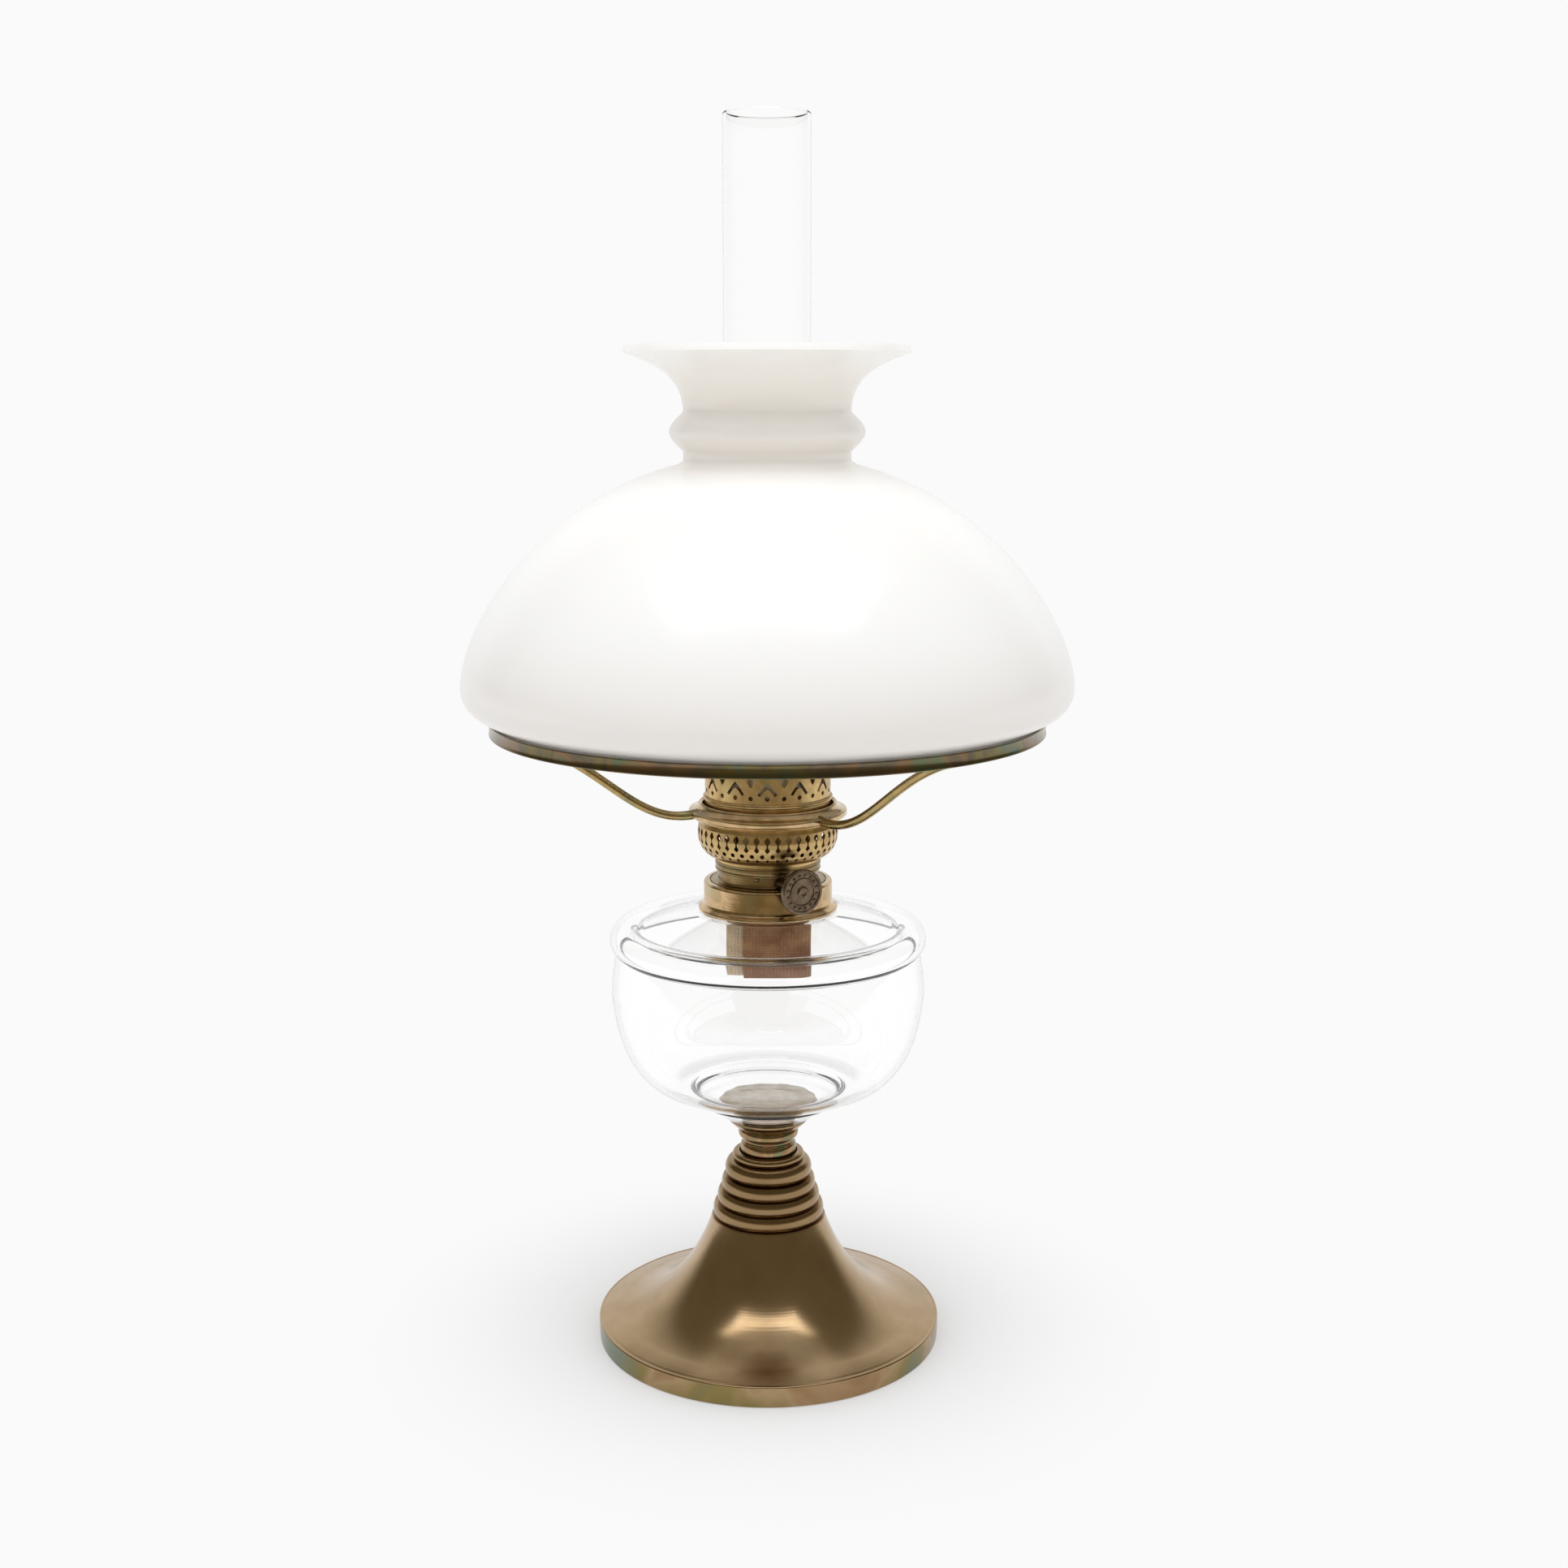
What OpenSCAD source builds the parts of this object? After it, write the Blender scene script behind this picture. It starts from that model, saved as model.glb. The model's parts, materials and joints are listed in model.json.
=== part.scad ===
// Table lamp with a glass font, a round-wick burner, a chimney and a dome shade
// Millimetres, +Z up, origin on the table under the middle of the foot, front towards -Y

/* [Foot] */
// Radius of the foot's rim
foot_r = 76.5; // [68:0.5:90]
// Height of the rim band
rim_h = 9.5; // [7:0.5:13]
// Width of the flat disc inside the rim
disc_w = 10.5; // [6:0.5:16]
// Rise of the disc from the rim to the trumpet
disc_rise = 2; // [1:0.5:4]
// How far the trumpet's bend lies outside its top
bend_run = 12.3; // [9:0.1:16]
// How far the trumpet's bend lies above the disc
bend_rise = 7.8; // [5:0.1:11]
// Radius of the trumpet at its top
trumpet_r = 25.3; // [23.5:0.1:28]
// Height of the trumpet's top above the table
trumpet_h = 55.5; // [48:0.5:64]
// Number of stepped rings on the trumpet
ring_count = 3; // [2:1:4]
// Height of one stepped ring
ring_h = 6.2; // [5:0.1:8]
// How much smaller each ring is than the one below
ring_step = 1.9; // [1.4:0.05:2.2]
// How far a ring bulges
ring_bulge = 1.5; // [0.8:0.1:2]
// Radius of the broad bead over the rings
broad_r = 19.3; // [18.4:0.1:20.5]
// Height of the broad bead over the rings
broad_h = 7.6; // [6:0.1:10]
// Radius of the crown bead that holds the spool
crown_r = 16; // [15.4:0.1:17]
// Height of the crown bead
crown_h = 3.9; // [3.4:0.1:5.5]
// Thickness of the spun sheet
foot_wall = 1.2; // [0.8:0.1:1.8]
// Thickness of the felt under the foot
felt_t = 1.6; // [1:0.1:3]
// How far the felt stands below the rim
felt_proud = 0.4; // [0.2:0.1:0.8]
// Thickness of the bottom plate
plate_t = 1.5; // [1:0.1:2.5]
// Height of the cast ballast
ballast_h = 16; // [10:0.5:18]

/* [Stem] */
// Radius of the tie rod
rod_r = 3; // [2.5:0.1:4]
// Radius of the spool's lower ring
spool_r = 12.5; // [11.8:0.1:13.2]
// How deep the spool sits in the crown
spool_inset = 2.4; // [1.5:0.1:3]
// Height of the spool's lower ring
spool_ring_h = 6.6; // [5:0.1:8]
// Radius of the spool's waist
waist_r = 11.2; // [9.5:0.1:11.6]
// Height of the spool's waist
waist_h = 2.9; // [2.4:0.1:5]
// Radius of the spool's upper bead
bead_r = 13.4; // [12.6:0.1:14]
// Height of the spool's upper bead
bead_h = 3.9; // [3:0.1:5.5]
// Radius of the cup's lip
cup_r = 18; // [17:0.1:20]
// Height of the cup
cup_h = 5; // [4.2:0.1:6.5]

/* [Font] */
// Largest radius of the glass bowl
font_r = 68.7; // [62:0.1:74]
// Radius of the moulded base ring
base_r = 32.6; // [28:0.2:38]
// Height of the base ring's top over the cup
base_h = 12.3; // [10:0.1:15]
// Height of the base ring's edge
base_edge = 2.6; // [1.6:0.1:4]
// Height of the bowl above the base ring
bowl_h = 46.4; // [40:0.2:56]
// Height of the drawn-in band over the bowl
band_h = 19.5; // [15:0.5:25]
// How far the band is drawn in
band_in = 2.3; // [1.5:0.1:3]
// Radius of the round of the shoulder ring
shoulder_round = 7; // [5.5:0.1:8.5]
// Rise of the top plate from the shoulder to the neck
top_rise = 8.5; // [6:0.5:11]
// Glass thickness of the bowl
font_wall = 3.2; // [2.4:0.1:4]

/* [Collar] */
// Radius of the collar's wall
collar_r = 28; // [27:0.1:31]
// Height of the collar
collar_h = 12.9; // [11:0.1:16]
// How far the collar's foot flares
collar_flare = 2.4; // [1.5:0.1:3.5]
// Sheet thickness of the collar
collar_wall = 0.9; // [0.6:0.1:1.2]
// Bore of the collar's thread, as a radius
thread_r = 22.6; // [21.6:0.1:23]
// Radial play between the two threads
thread_play = 0.4; // [0.3:0.05:0.6]
// Depth of the recess for the burner's flange
recess_h = 1.7; // [1.4:0.1:2.2]
// Thickness of the sealing washer
gasket_t = 1; // [0.6:0.1:1.2]

/* [Burner] */
// Radius of the burner's flange
flange_r = 25; // [24.2:0.1:25.6]
// Radius of the burner's neck
neck_r = 21.8; // [21:0.1:22]
// Height of the neck over the flange
neck_h = 9.2; // [8.8:0.1:12]
// Sheet thickness of the burner
sheet = 0.6; // [0.4:0.05:0.8]
// Length of the male thread
thread_l = 9; // [7:0.5:10]
// Inner radius of the outer wick tube
tube_r = 13.4; // [13:0.05:14]
// Height of the wick tubes over the flange
tube_h = 78; // [66:1:84]
// How far the tubes reach below the flange
tube_drop = 4; // [2:0.5:7]
// Height of the wick shaft over the flange
shaft_z = 2.6; // [2.2:0.1:3.4]
// Radius of the wick shaft
shaft_r = 1.5; // [1.2:0.1:1.6]
// Sideways offset of the shaft from the burner's axis
shaft_off = 8; // [7:0.1:8.6]
// Direction of the shaft, right of the front
shaft_dir = 33; // [20:1:50]
// Distance from the burner's axis to the knob's face
knob_reach = 40; // [36:0.5:46]
// Radius of the knob
knob_r = 9.8; // [8.5:0.1:11]
// Thickness of the knob
knob_t = 2.4; // [2:0.1:3]
// Radius of the star wheel over its points
star_r = 3.4; // [2.6:0.1:3.4]
// Number of points on the star wheel
star_points = 8; // [6:1:12]

/* [Wick] */
// Width of the woven wick
wick_w = 70; // [64:0.5:72]
// Thickness of the wick
wick_t = 2.2; // [1.6:0.1:2.2]
// How far the wick stands out of the tubes
wick_up = 1.5; // [0.5:0.1:3]
// How far the wick hangs below the burner's flange
wick_drop = 45; // [36:1:52]
// Width of the hanging fold
tail_w = 38; // [32:0.5:38.5]
// Depth of the hanging fold
tail_d = 11; // [8:0.5:14]

/* [Gallery] */
// Largest radius of the basket
basket_r = 30.5; // [29:0.1:33]
// Height of the basket over its skirt
basket_h = 17.6; // [16:0.1:20]
// Number of openings round the basket
basket_holes = 42; // [24:2:44]
// Radius of the gallery
gallery_r = 27.15; // [26.2:0.05:27.8]
// Height of the gallery's wall over the basket
gallery_h = 30; // [28:0.5:36]
// Number of arched openings round the gallery
gallery_holes = 12; // [8:1:14]
// Height of the chimney's seat over the basket
seat_h = 8.6; // [8:0.1:11]

/* [Chimney] */
// Radius of the chimney's base
chimney_base_r = 25.9; // [24:0.1:26.2]
// Radius of the chimney's tube
chimney_r = 18.25; // [17:0.05:20]
// Length of the chimney
chimney_h = 284; // [260:1:310]
// Height of the chimney's shoulder over its base
chimney_waist = 54; // [46:0.5:62]
// Height over which the shoulder draws in
chimney_draw = 10; // [7:0.5:14]
// Glass thickness of the chimney
chimney_wall = 1.5; // [1:0.1:2]

/* [Shade holder] */
// Radius of the hub's flange
hub_r = 34.3; // [33:0.1:37]
// Height of the hub
hub_h = 7; // [6:0.1:7.6]
// Outer radius of the shade ring
ring_r = 119; // [112:0.5:124]
// Height of the ring's band
ring_band_h = 5.6; // [4.5:0.1:7]
// Sheet thickness of the ring
ring_wall = 0.9; // [0.7:0.05:1.2]
// Height of the ledge that carries the shade over the band's foot
ledge_up = 2.6; // [2.2:0.1:3]
// Width of the ledge that carries the shade
ledge_w = 7; // [5:0.5:9]
// Height of the ring over the hub's foot
ring_lift = 38.5; // [34:0.1:43]
// Radius of the arms
arm_r = 1.9; // [1.5:0.1:2.2]
// Direction of the first arm, right of the front
arm_dir = 44.5; // [30:0.5:60]

/* [Shade] */
// How far the shade reaches out beyond its ring
shade_over = 11.4; // [6:0.2:20]
// Height of the widest place over the shade's foot
shade_belly_h = 15.2; // [13:0.1:19]
// Height of the dome over the widest place
dome_h = 94; // [84:0.5:106]
// Radius of the shade's neck
shade_neck_r = 35.3; // [33:0.1:38]
// Height of the neck below and above its bead
shade_neck_h = 6; // [5:0.5:8]
// Height of the neck's bead
shade_bead_h = 14; // [11:0.5:17]
// How far the bead stands out
shade_bead_out = 5.9; // [4:0.1:7]
// Radius of the shade's lip
lip_r = 60.3; // [54:0.1:66]
// Height of the flare under the lip
flare_h = 22.5; // [18:0.5:27]
// Glass thickness of the shade
shade_wall = 3; // [2.4:0.1:3.4]

/* [Fits] */
// Gap between pieces that lift off one another
lift_gap = 0.3; // [0.2:0.05:0.4]
// Radial play of turning and push fits
run_gap = 0.06; // [0.03:0.01:0.09]
// Gap between neighbours that never touch
air_gap = 0.5; // [0.4:0.05:0.8]

/* [Hidden] */
$fn = 96;
cut_depth = 5;
lug_t = 1.6;
arm_count = 3;
arm_step = 360 / arm_count;
shoulder_wrap = 40;
flange_t = 0.9;
skirt_h = 4.4;
keyhole_drop = 9.85;
round_drop = 11.35;
diamond_drop = 13.55;

// Heights up the lamp, each from the one below
stack_z = trumpet_h;
broad_z = stack_z + ring_count * ring_h;
crown_z = broad_z + broad_h;
crown_top = crown_z + crown_h;
spool_z = crown_top - spool_inset;
waist_z = spool_z + spool_ring_h;
bead_z = waist_z + waist_h;
cup_z = bead_z + bead_h;
cup_top = cup_z + cup_h;
base_z = cup_top + base_h;
belly_z = base_z + bowl_h;
band_z = belly_z + band_h;
shoulder_z = band_z + shoulder_round * sin(shoulder_wrap);
plate_z = shoulder_z + shoulder_round * sin(shoulder_wrap);
neck_z = plate_z + top_rise;
collar_top = neck_z + collar_h;
gasket_z = collar_top - recess_h;
flange_z = gasket_z + gasket_t;
flange_top = flange_z + flange_t;
skirt_z = flange_top + neck_h - skirt_h;
basket_z = flange_top + neck_h + lift_gap;
gallery_z = basket_z + basket_h;
seat_z = gallery_z + seat_h;
chimney_z = seat_z + lift_gap;
hub_z = gallery_z + lift_gap;
ring_z = hub_z + ring_lift;
ledge_z = ring_z + ledge_up;
shade_z = ledge_z + ring_wall + lift_gap;
shade_top_z = shade_z + shade_belly_h + dome_h;
tube_top = flange_top + tube_h;
tube_low = flange_z - tube_drop;
shaft_height = flange_top + shaft_z;

// Radii that follow from a fit
disc_r = foot_r - disc_w;
cup_floor = 2;
plate_r = foot_r - foot_wall;
neck_glass_r = (thread_r + collar_wall + collar_r - collar_wall) / 2 + 0.8;
neck_glass_wall = 1.6;
male_r = thread_r - thread_play;
wick_in_r = tube_r - air_gap / 2 - wick_t;
wick_mid_r = wick_in_r + wick_t / 2;
core_r = wick_in_r - air_gap / 2;
skirt_r = neck_r + run_gap;
skirt_out = skirt_r + sheet;
hub_in = gallery_r + 1 + lift_gap;
fitter_r = ring_r - ring_wall - air_gap * 2;
shade_r = ring_r + shade_over;
arm_end_r = ring_r - ledge_w;
arm_end_z = ledge_z - arm_r - 0.2;
rod_head_r = rod_r + 2.6;

// Small sizes inside the lamp
lip_w = 2;
nut_r = 2.1 * rod_r;
nut_t = 1.7 * rod_r;
washer_t = 1;
dish_r = nut_r + 3;
dish_z = felt_t + nut_t + washer_t + 1;
head_t = 0.9;
cup_wall = 1.2;
peg_h = 0.8;
seat_gap = 0.1;
thread_wall = 1.4;
relief = 0.5;
knob_beads = 16;
star_t = 1.5;
star_root = 0.68 * star_r;

// Reaches along the shaft at which it and its wheel come up to the wick's tube
shaft_reach = sqrt(tube_r ^ 2 - (shaft_off - shaft_r) ^ 2);
star_reach = sqrt(tube_r ^ 2 - (shaft_off - star_r) ^ 2);

// The wick's seam faces left, and the hanging fold is open on that side
wick_rise = 6;
front_share = 0.447;
seam_gap = 2 * PI * wick_mid_r - wick_w;
seam_dir = (wick_w * (1 - front_share) + seam_gap / 2) / wick_mid_r * 180 / PI;
duct_w = seam_gap - 2 * air_gap;
duct_z = tube_low + 2;
duct_h = 28;
wick_low = flange_z - wick_drop;
wick_bend_h = 11;
bend_top = tube_low - wick_rise - air_gap;
fold_r = (tail_d - wick_t) / 2;
fold_l = fold_r * PI / 2;
fold_c = [(tail_w - tail_d) / 2, 0];

// Curves and offsets used by the turned shapes
function arc(c, r, from, to, n = 10) =
    [for (i = [0:n]) c + r * [cos(from + (to - from) * i / n), sin(from + (to - from) * i / n)]];
function sweep3(a, b, c, n = 10) =
    [for (i = [0:n]) let (t = i / n) a * (1 - t) ^ 2 + b * 2 * t * (1 - t) + c * t ^ 2];
function sweep4(a, b, c, d, n = 14) =
    [for (i = [0:n]) let (t = i / n)
        a * (1 - t) ^ 3 + b * 3 * t * (1 - t) ^ 2 + c * 3 * t ^ 2 * (1 - t) + d * t ^ 3];
function bulge(r, z, h, out, n = 8) =
    [for (i = [0:n]) let (t = -90 + 180 * i / n) [r - out + out * cos(t), z + h / 2 + h / 2 * sin(t)]];
function unit(v) = v / norm(v);
function side(a, b) = let (d = unit(b - a)) [d[1], -d[0]];
function back(v) = [for (i = [len(v) - 1:-1:0]) v[i]];
function inset(p, t) =
    let (last = len(p) - 1)
    [for (i = [0:last])
        let (a = side(p[max(i - 1, 0)], p[max(i, 1)]), b = side(p[min(i, last - 1)], p[min(i + 1, last)]))
        p[i] - t * (a + b) / (1 + a * b)];
function shell(p, t) = concat(p, back(inset(p, t)));

module turned(points) { rotate_extrude() polygon(points); }

module tube(r_out, r_in, z0, z1) {
    turned([[r_in, z0], [r_out, z0], [r_out, z1], [r_in, z1]]);
}

// A horizontal cylinder along the wick shaft's direction, from one reach to another
module along_shaft(from, to) {
    rotate([0, 0, shaft_dir])
        translate([-shaft_off, -from, shaft_height])
            rotate([90, 0, 0])
                linear_extrude(to - from)
                    children();
}

// A frame on the wick shaft at one reach, with its +Z pointing out of the burner
module on_shaft(reach) {
    rotate([0, 0, shaft_dir])
        translate([-shaft_off, -reach, shaft_height])
            rotate([90, 0, 0])
                children();
}

// Copies of a flat outline, cut outwards through a round wall at one height
module pierced(count, r, z, turn = 0) {
    for (i = [0:count - 1])
        rotate([0, 0, turn + 360 * i / count])
            translate([0, -r + cut_depth, z])
                rotate([90, 0, 0])
                    linear_extrude(2 * cut_depth)
                        children();
}

// Foot
trumpet = sweep3([disc_r, rim_h + disc_rise],
                 [trumpet_r + bend_run, rim_h + disc_rise + bend_rise],
                 [trumpet_r, trumpet_h]);
rings = [for (i = [0:ring_count - 1])
    each bulge(trumpet_r - (i + 0.3) * ring_step, stack_z + i * ring_h, ring_h, ring_bulge)];
crown_bulge = (crown_r - spool_r - air_gap) / 2;

module foot_shell() {
    outside = concat([[foot_r, felt_proud], [foot_r, rim_h]], trumpet, rings,
                     bulge(broad_r, broad_z, broad_h, 2), bulge(crown_r, crown_z, crown_h, crown_bulge));
    seat = [[spool_r + air_gap, crown_top], [spool_r + air_gap, spool_z],
            [rod_r + run_gap, spool_z], [rod_r + run_gap, spool_z - foot_wall]];
    inside = concat([[crown_r - crown_bulge - 2 * foot_wall, spool_z - foot_wall],
                     [broad_r - 2 - foot_wall, broad_z],
                     [trumpet_r - ring_bulge - foot_wall, stack_z]],
                    back(inset(trumpet, foot_wall)),
                    [[plate_r, rim_h - foot_wall], [plate_r, felt_t],
                     [plate_r - lip_w, felt_t], [plate_r - lip_w, felt_proud]]);
    color("darkgoldenrod") turned(concat(outside, seat, inside));
}

module foot_bottom_plate() {
    top = dish_z + plate_t;
    color("silver")
        turned([[rod_r + run_gap, dish_z], [dish_r, dish_z], [dish_r + plate_t, felt_t], [plate_r, felt_t],
                [plate_r, felt_t + plate_t], [dish_r + 2 * plate_t, felt_t + plate_t],
                [dish_r + plate_t, top], [rod_r + run_gap, top]]);
}

module foot_felt() {
    color("darkolivegreen") tube(plate_r - lip_w - air_gap, dish_r, 0, felt_t);
}

module foot_ballast() {
    color("dimgray")
        tube(trumpet_r + bend_run / 2, dish_r + 2 * plate_t + air_gap,
             felt_t + plate_t, felt_t + plate_t + ballast_h);
}

// Stem
module tie_rod() {
    floor_z = cup_top - cup_floor;
    color("silver")
        turned([[0, felt_t], [rod_r, felt_t], [rod_r, floor_z], [rod_head_r, floor_z],
                [rod_head_r, floor_z + head_t], [0, floor_z + head_t]]);
}

module tie_washer() {
    color("silver") tube(nut_r + 1, rod_r + run_gap, dish_z - washer_t, dish_z);
}

module tie_nut() {
    color("silver")
        translate([0, 0, dish_z - washer_t - nut_t])
            difference() {
                cylinder(nut_t, r = nut_r, $fn = 6);
                translate([0, 0, -1]) cylinder(nut_t + 2, r = rod_r);
            }
}

module stem_spool() {
    dip = 2 * waist_r - (spool_r + bead_r) / 2;
    floor_z = cup_top - cup_floor;
    bore = rod_r + run_gap;
    color("goldenrod")
        turned(concat([[bore, spool_z]],
                      bulge(spool_r, spool_z, spool_ring_h, 0.8),
                      sweep3([spool_r - 0.8, waist_z], [dip, waist_z + waist_h / 2], [bead_r - 0.9, bead_z]),
                      bulge(bead_r, bead_z, bead_h, 0.9),
                      [[cup_r - 3, cup_z + 0.27 * cup_h], [cup_r - 1, cup_z + 0.68 * cup_h],
                       [cup_r, cup_top - 0.6], [cup_r, cup_top], [cup_r - cup_wall, cup_top],
                       [cup_r - 3 * cup_wall, floor_z], [bore, floor_z]]));
}

module lower_plaster() {
    floor_z = cup_top - cup_floor;
    top = cup_top - peg_h;
    slope = 2 * cup_wall * (top - floor_z) / cup_floor;
    color("white")
        turned([[0, floor_z + head_t], [rod_head_r, floor_z + head_t], [rod_head_r, floor_z],
                [cup_r - 3 * cup_wall, floor_z], [cup_r - 3 * cup_wall + slope, top], [0, top]]);
}

// Glass font
bowl = sweep3([base_r + 0.4, base_z + 0.9], [font_r - 3.2, base_z + 1.2], [font_r, belly_z], 12);
well_r = base_r - 7;
well_z = base_z - base_edge - 0.8;
shoulder_c = [font_r + 0.5 - shoulder_round, shoulder_z];
font_wall_line = concat(bowl, [[font_r - band_in, band_z - 1]],
                        arc(shoulder_c, shoulder_round, -shoulder_wrap, 180 - shoulder_wrap, 14),
                        [[collar_r + collar_flare + 0.6, neck_z]]);
peg_r = cup_r - 2 * cup_wall;
neck_top = gasket_z - collar_wall - 1.2;

module font() {
    inner = inset(font_wall_line, font_wall);
    color("azure", 0.4)
        turned(concat([[0, cup_top - peg_h], [peg_r, cup_top - peg_h], [peg_r, cup_top],
                       [cup_r + 0.2, cup_top],
                       [base_r - 1.4, base_z - base_edge - 0.8], [base_r, base_z - base_edge],
                       [base_r, base_z - 0.5], [base_r - 0.5, base_z]],
                      font_wall_line,
                      [[neck_glass_r, neck_z], [neck_glass_r, neck_top],
                       [neck_glass_r - neck_glass_wall, neck_top],
                       [neck_glass_r - neck_glass_wall, neck_z - font_wall]],
                      back(inner), [[well_r, well_z], [0, well_z]]));
}

module upper_plaster() {
    out = collar_r - collar_wall;
    sleeve = thread_r + collar_wall;
    glass_in = neck_glass_r - neck_glass_wall;
    top = gasket_z - collar_wall;
    color("white")
        turned([[out, neck_z], [out, top], [sleeve, top], [sleeve, neck_z], [glass_in, neck_z],
                [glass_in, neck_top], [neck_glass_r, neck_top], [neck_glass_r, neck_z]]);
}

module collar() {
    foot = collar_r + collar_flare;
    round = 1.2;
    color("darkgoldenrod")
        turned(concat([[foot, neck_z], [foot, neck_z + 1.6], [foot - 1, neck_z + 2.4],
                       [collar_r, neck_z + 3.6]],
                      arc([collar_r - round, collar_top - round], round, 0, 90, 5),
                      [[flange_r + air_gap, collar_top], [flange_r + air_gap, gasket_z], [thread_r, gasket_z],
                       [thread_r, neck_z - 1], [thread_r + collar_wall, neck_z - 1],
                       [thread_r + collar_wall, gasket_z - collar_wall],
                       [collar_r - collar_wall, gasket_z - collar_wall], [collar_r - collar_wall, neck_z]]));
}

module burner_gasket() {
    color("peru") tube(flange_r, thread_r, gasket_z + seat_gap, flange_z - seat_gap);
}

// Burner
module burner_base() {
    web = tube_r + sheet;
    color("darkgoldenrod")
        difference() {
            turned([[web, flange_z], [male_r - thread_wall, flange_z],
                    [male_r - thread_wall, flange_z - thread_l],
                    [male_r, flange_z - thread_l], [male_r, flange_z], [flange_r, flange_z],
                    [flange_r, flange_top - 0.3], [flange_r - 0.3, flange_top], [neck_r, flange_top],
                    [neck_r, flange_top + neck_h], [neck_r - sheet, flange_top + neck_h],
                    [neck_r - sheet, flange_top], [web, flange_top]]);
            along_shaft(star_reach, knob_reach) circle(shaft_r + run_gap);
            star_slot();
        }
}

// The slot in flange and tube through which the star wheel meets the wick
module star_slot() {
    along_shaft(shaft_reach - 2, star_reach + star_t + air_gap)
        square(2 * (star_r + air_gap), center = true);
}

module duct_window() {
    rotate([0, 0, seam_dir])
        translate([core_r - 2, -duct_w / 2 + sheet, duct_z + 2])
            cube([tube_r + 4 - core_r, duct_w - 2 * sheet, duct_h - 4]);
}

module outer_wick_tube() {
    color("goldenrod")
        difference() {
            tube(tube_r + sheet, tube_r, tube_low, tube_top);
            star_slot();
            duct_window();
        }
}

module inner_air_tube() {
    color("goldenrod")
        difference() {
            tube(core_r, core_r - sheet, tube_low, tube_top);
            duct_window();
        }
}

module air_duct() {
    color("goldenrod")
        difference() {
            intersection() {
                tube(tube_r, core_r, duct_z, duct_z + duct_h);
                rotate([0, 0, seam_dir])
                    translate([0, -duct_w / 2, duct_z])
                        cube([tube_r + 1, duct_w, duct_h]);
            }
            duct_window();
        }
}

module shaft_bush() {
    color("goldenrod")
        difference() {
            intersection() {
                along_shaft(star_reach + star_t + 2 * air_gap, knob_reach) circle(shaft_z - lift_gap);
                cylinder(shaft_height + knob_r, r = neck_r - sheet);
            }
            along_shaft(star_reach, knob_reach) circle(shaft_r + run_gap);
        }
}

// Wick drive
module wick_shaft() {
    color("darkgoldenrod") along_shaft(shaft_reach, knob_reach - 0.3) circle(shaft_r);
}

module star_wheel() {
    color("goldenrod")
        along_shaft(star_reach, star_reach + star_t)
            difference() {
                polygon([for (i = [0:2 * star_points - 1])
                    let (r = i % 2 == 0 ? star_r : star_root, t = 180 * i / star_points)
                    r * [cos(t), sin(t)]]);
                circle(shaft_r);
            }
}

module wick_knob() {
    rim = knob_r - 1.3;
    eye = knob_r * 0.55;
    low = knob_t - relief;
    color("saddlebrown")
        on_shaft(knob_reach - knob_t) {
            turned([[shaft_r, -2], [shaft_r + 1.4, -2], [shaft_r + 1.4, 0], [knob_r - 0.3, 0], [knob_r, 0.3],
                    [knob_r, knob_t - 0.4], [knob_r - 0.4, knob_t], [rim, knob_t], [rim - 0.3, low],
                    [eye + 0.8, low],
                    [eye + 0.5, knob_t], [eye, knob_t], [eye - 0.3, low], [shaft_r + 1.2, low],
                    [shaft_r + 0.9, knob_t], [shaft_r, knob_t]]);
            for (i = [0:knob_beads - 1])
                rotate([0, 0, 360 * i / knob_beads])
                    translate([(rim + eye) / 2 + 0.2, 0, low - relief])
                        cylinder(2 * relief - 0.1, r = 0.55);
        }
}

// Wick
function circle_point(s) = let (t = s / wick_mid_r * 180 / PI) wick_mid_r * [cos(t), sin(t)];
function circle_out(s) = let (t = s / wick_mid_r * 180 / PI) [cos(t), sin(t)];
function fold_point(s) =
    abs(s) < fold_l ? fold_c + fold_r * [cos(s / fold_r * 180 / PI), sin(s / fold_r * 180 / PI)]
                    : fold_c + [fold_l - abs(s), sign(s) * fold_r];
function fold_out(s) =
    abs(s) < fold_l ? [cos(s / fold_r * 180 / PI), sin(s / fold_r * 180 / PI)] : [0, sign(s)];
function wick_point(s, z, layer) =
    let (m = min(1, max(0, (bend_top - z) / wick_bend_h)), k = m * m * (3 - 2 * m),
         p = circle_point(s) * (1 - k) + fold_point(s) * k,
         o = unit(circle_out(s) * (1 - k) + fold_out(s) * k),
         q = p + o * layer * wick_t / 2)
    [q[0], q[1], z];

module wick() {
    steps = 40;
    rows = concat([wick_low], [for (i = [0:5]) bend_top - wick_bend_h * (1 - i / 5)], [tube_top + wick_up]);
    spans = [for (i = [0:steps]) wick_w * (i / steps - front_share)];
    loop = concat([for (s = spans) [s, 1]], [for (s = back(spans)) [s, -1]]);
    n = len(loop);
    points = [for (z = rows, e = loop) wick_point(e[0], z, e[1])];
    sides = [for (r = [0:len(rows) - 2], c = [0:n - 1])
        let (a = r * n + c, b = r * n + (c + 1) % n)
        each [[a, a + n, b], [b, a + n, b + n]]];
    top = (len(rows) - 1) * n;
    caps = [for (c = [0:steps - 1])
        let (d = n - 1 - c)
        each [[c, c + 1, d], [c + 1, d - 1, d],
              [top + c, top + d, top + c + 1], [top + c + 1, top + d, top + d - 1]]];
    color("peru") polyhedron(points, concat(sides, caps));
}

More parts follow.
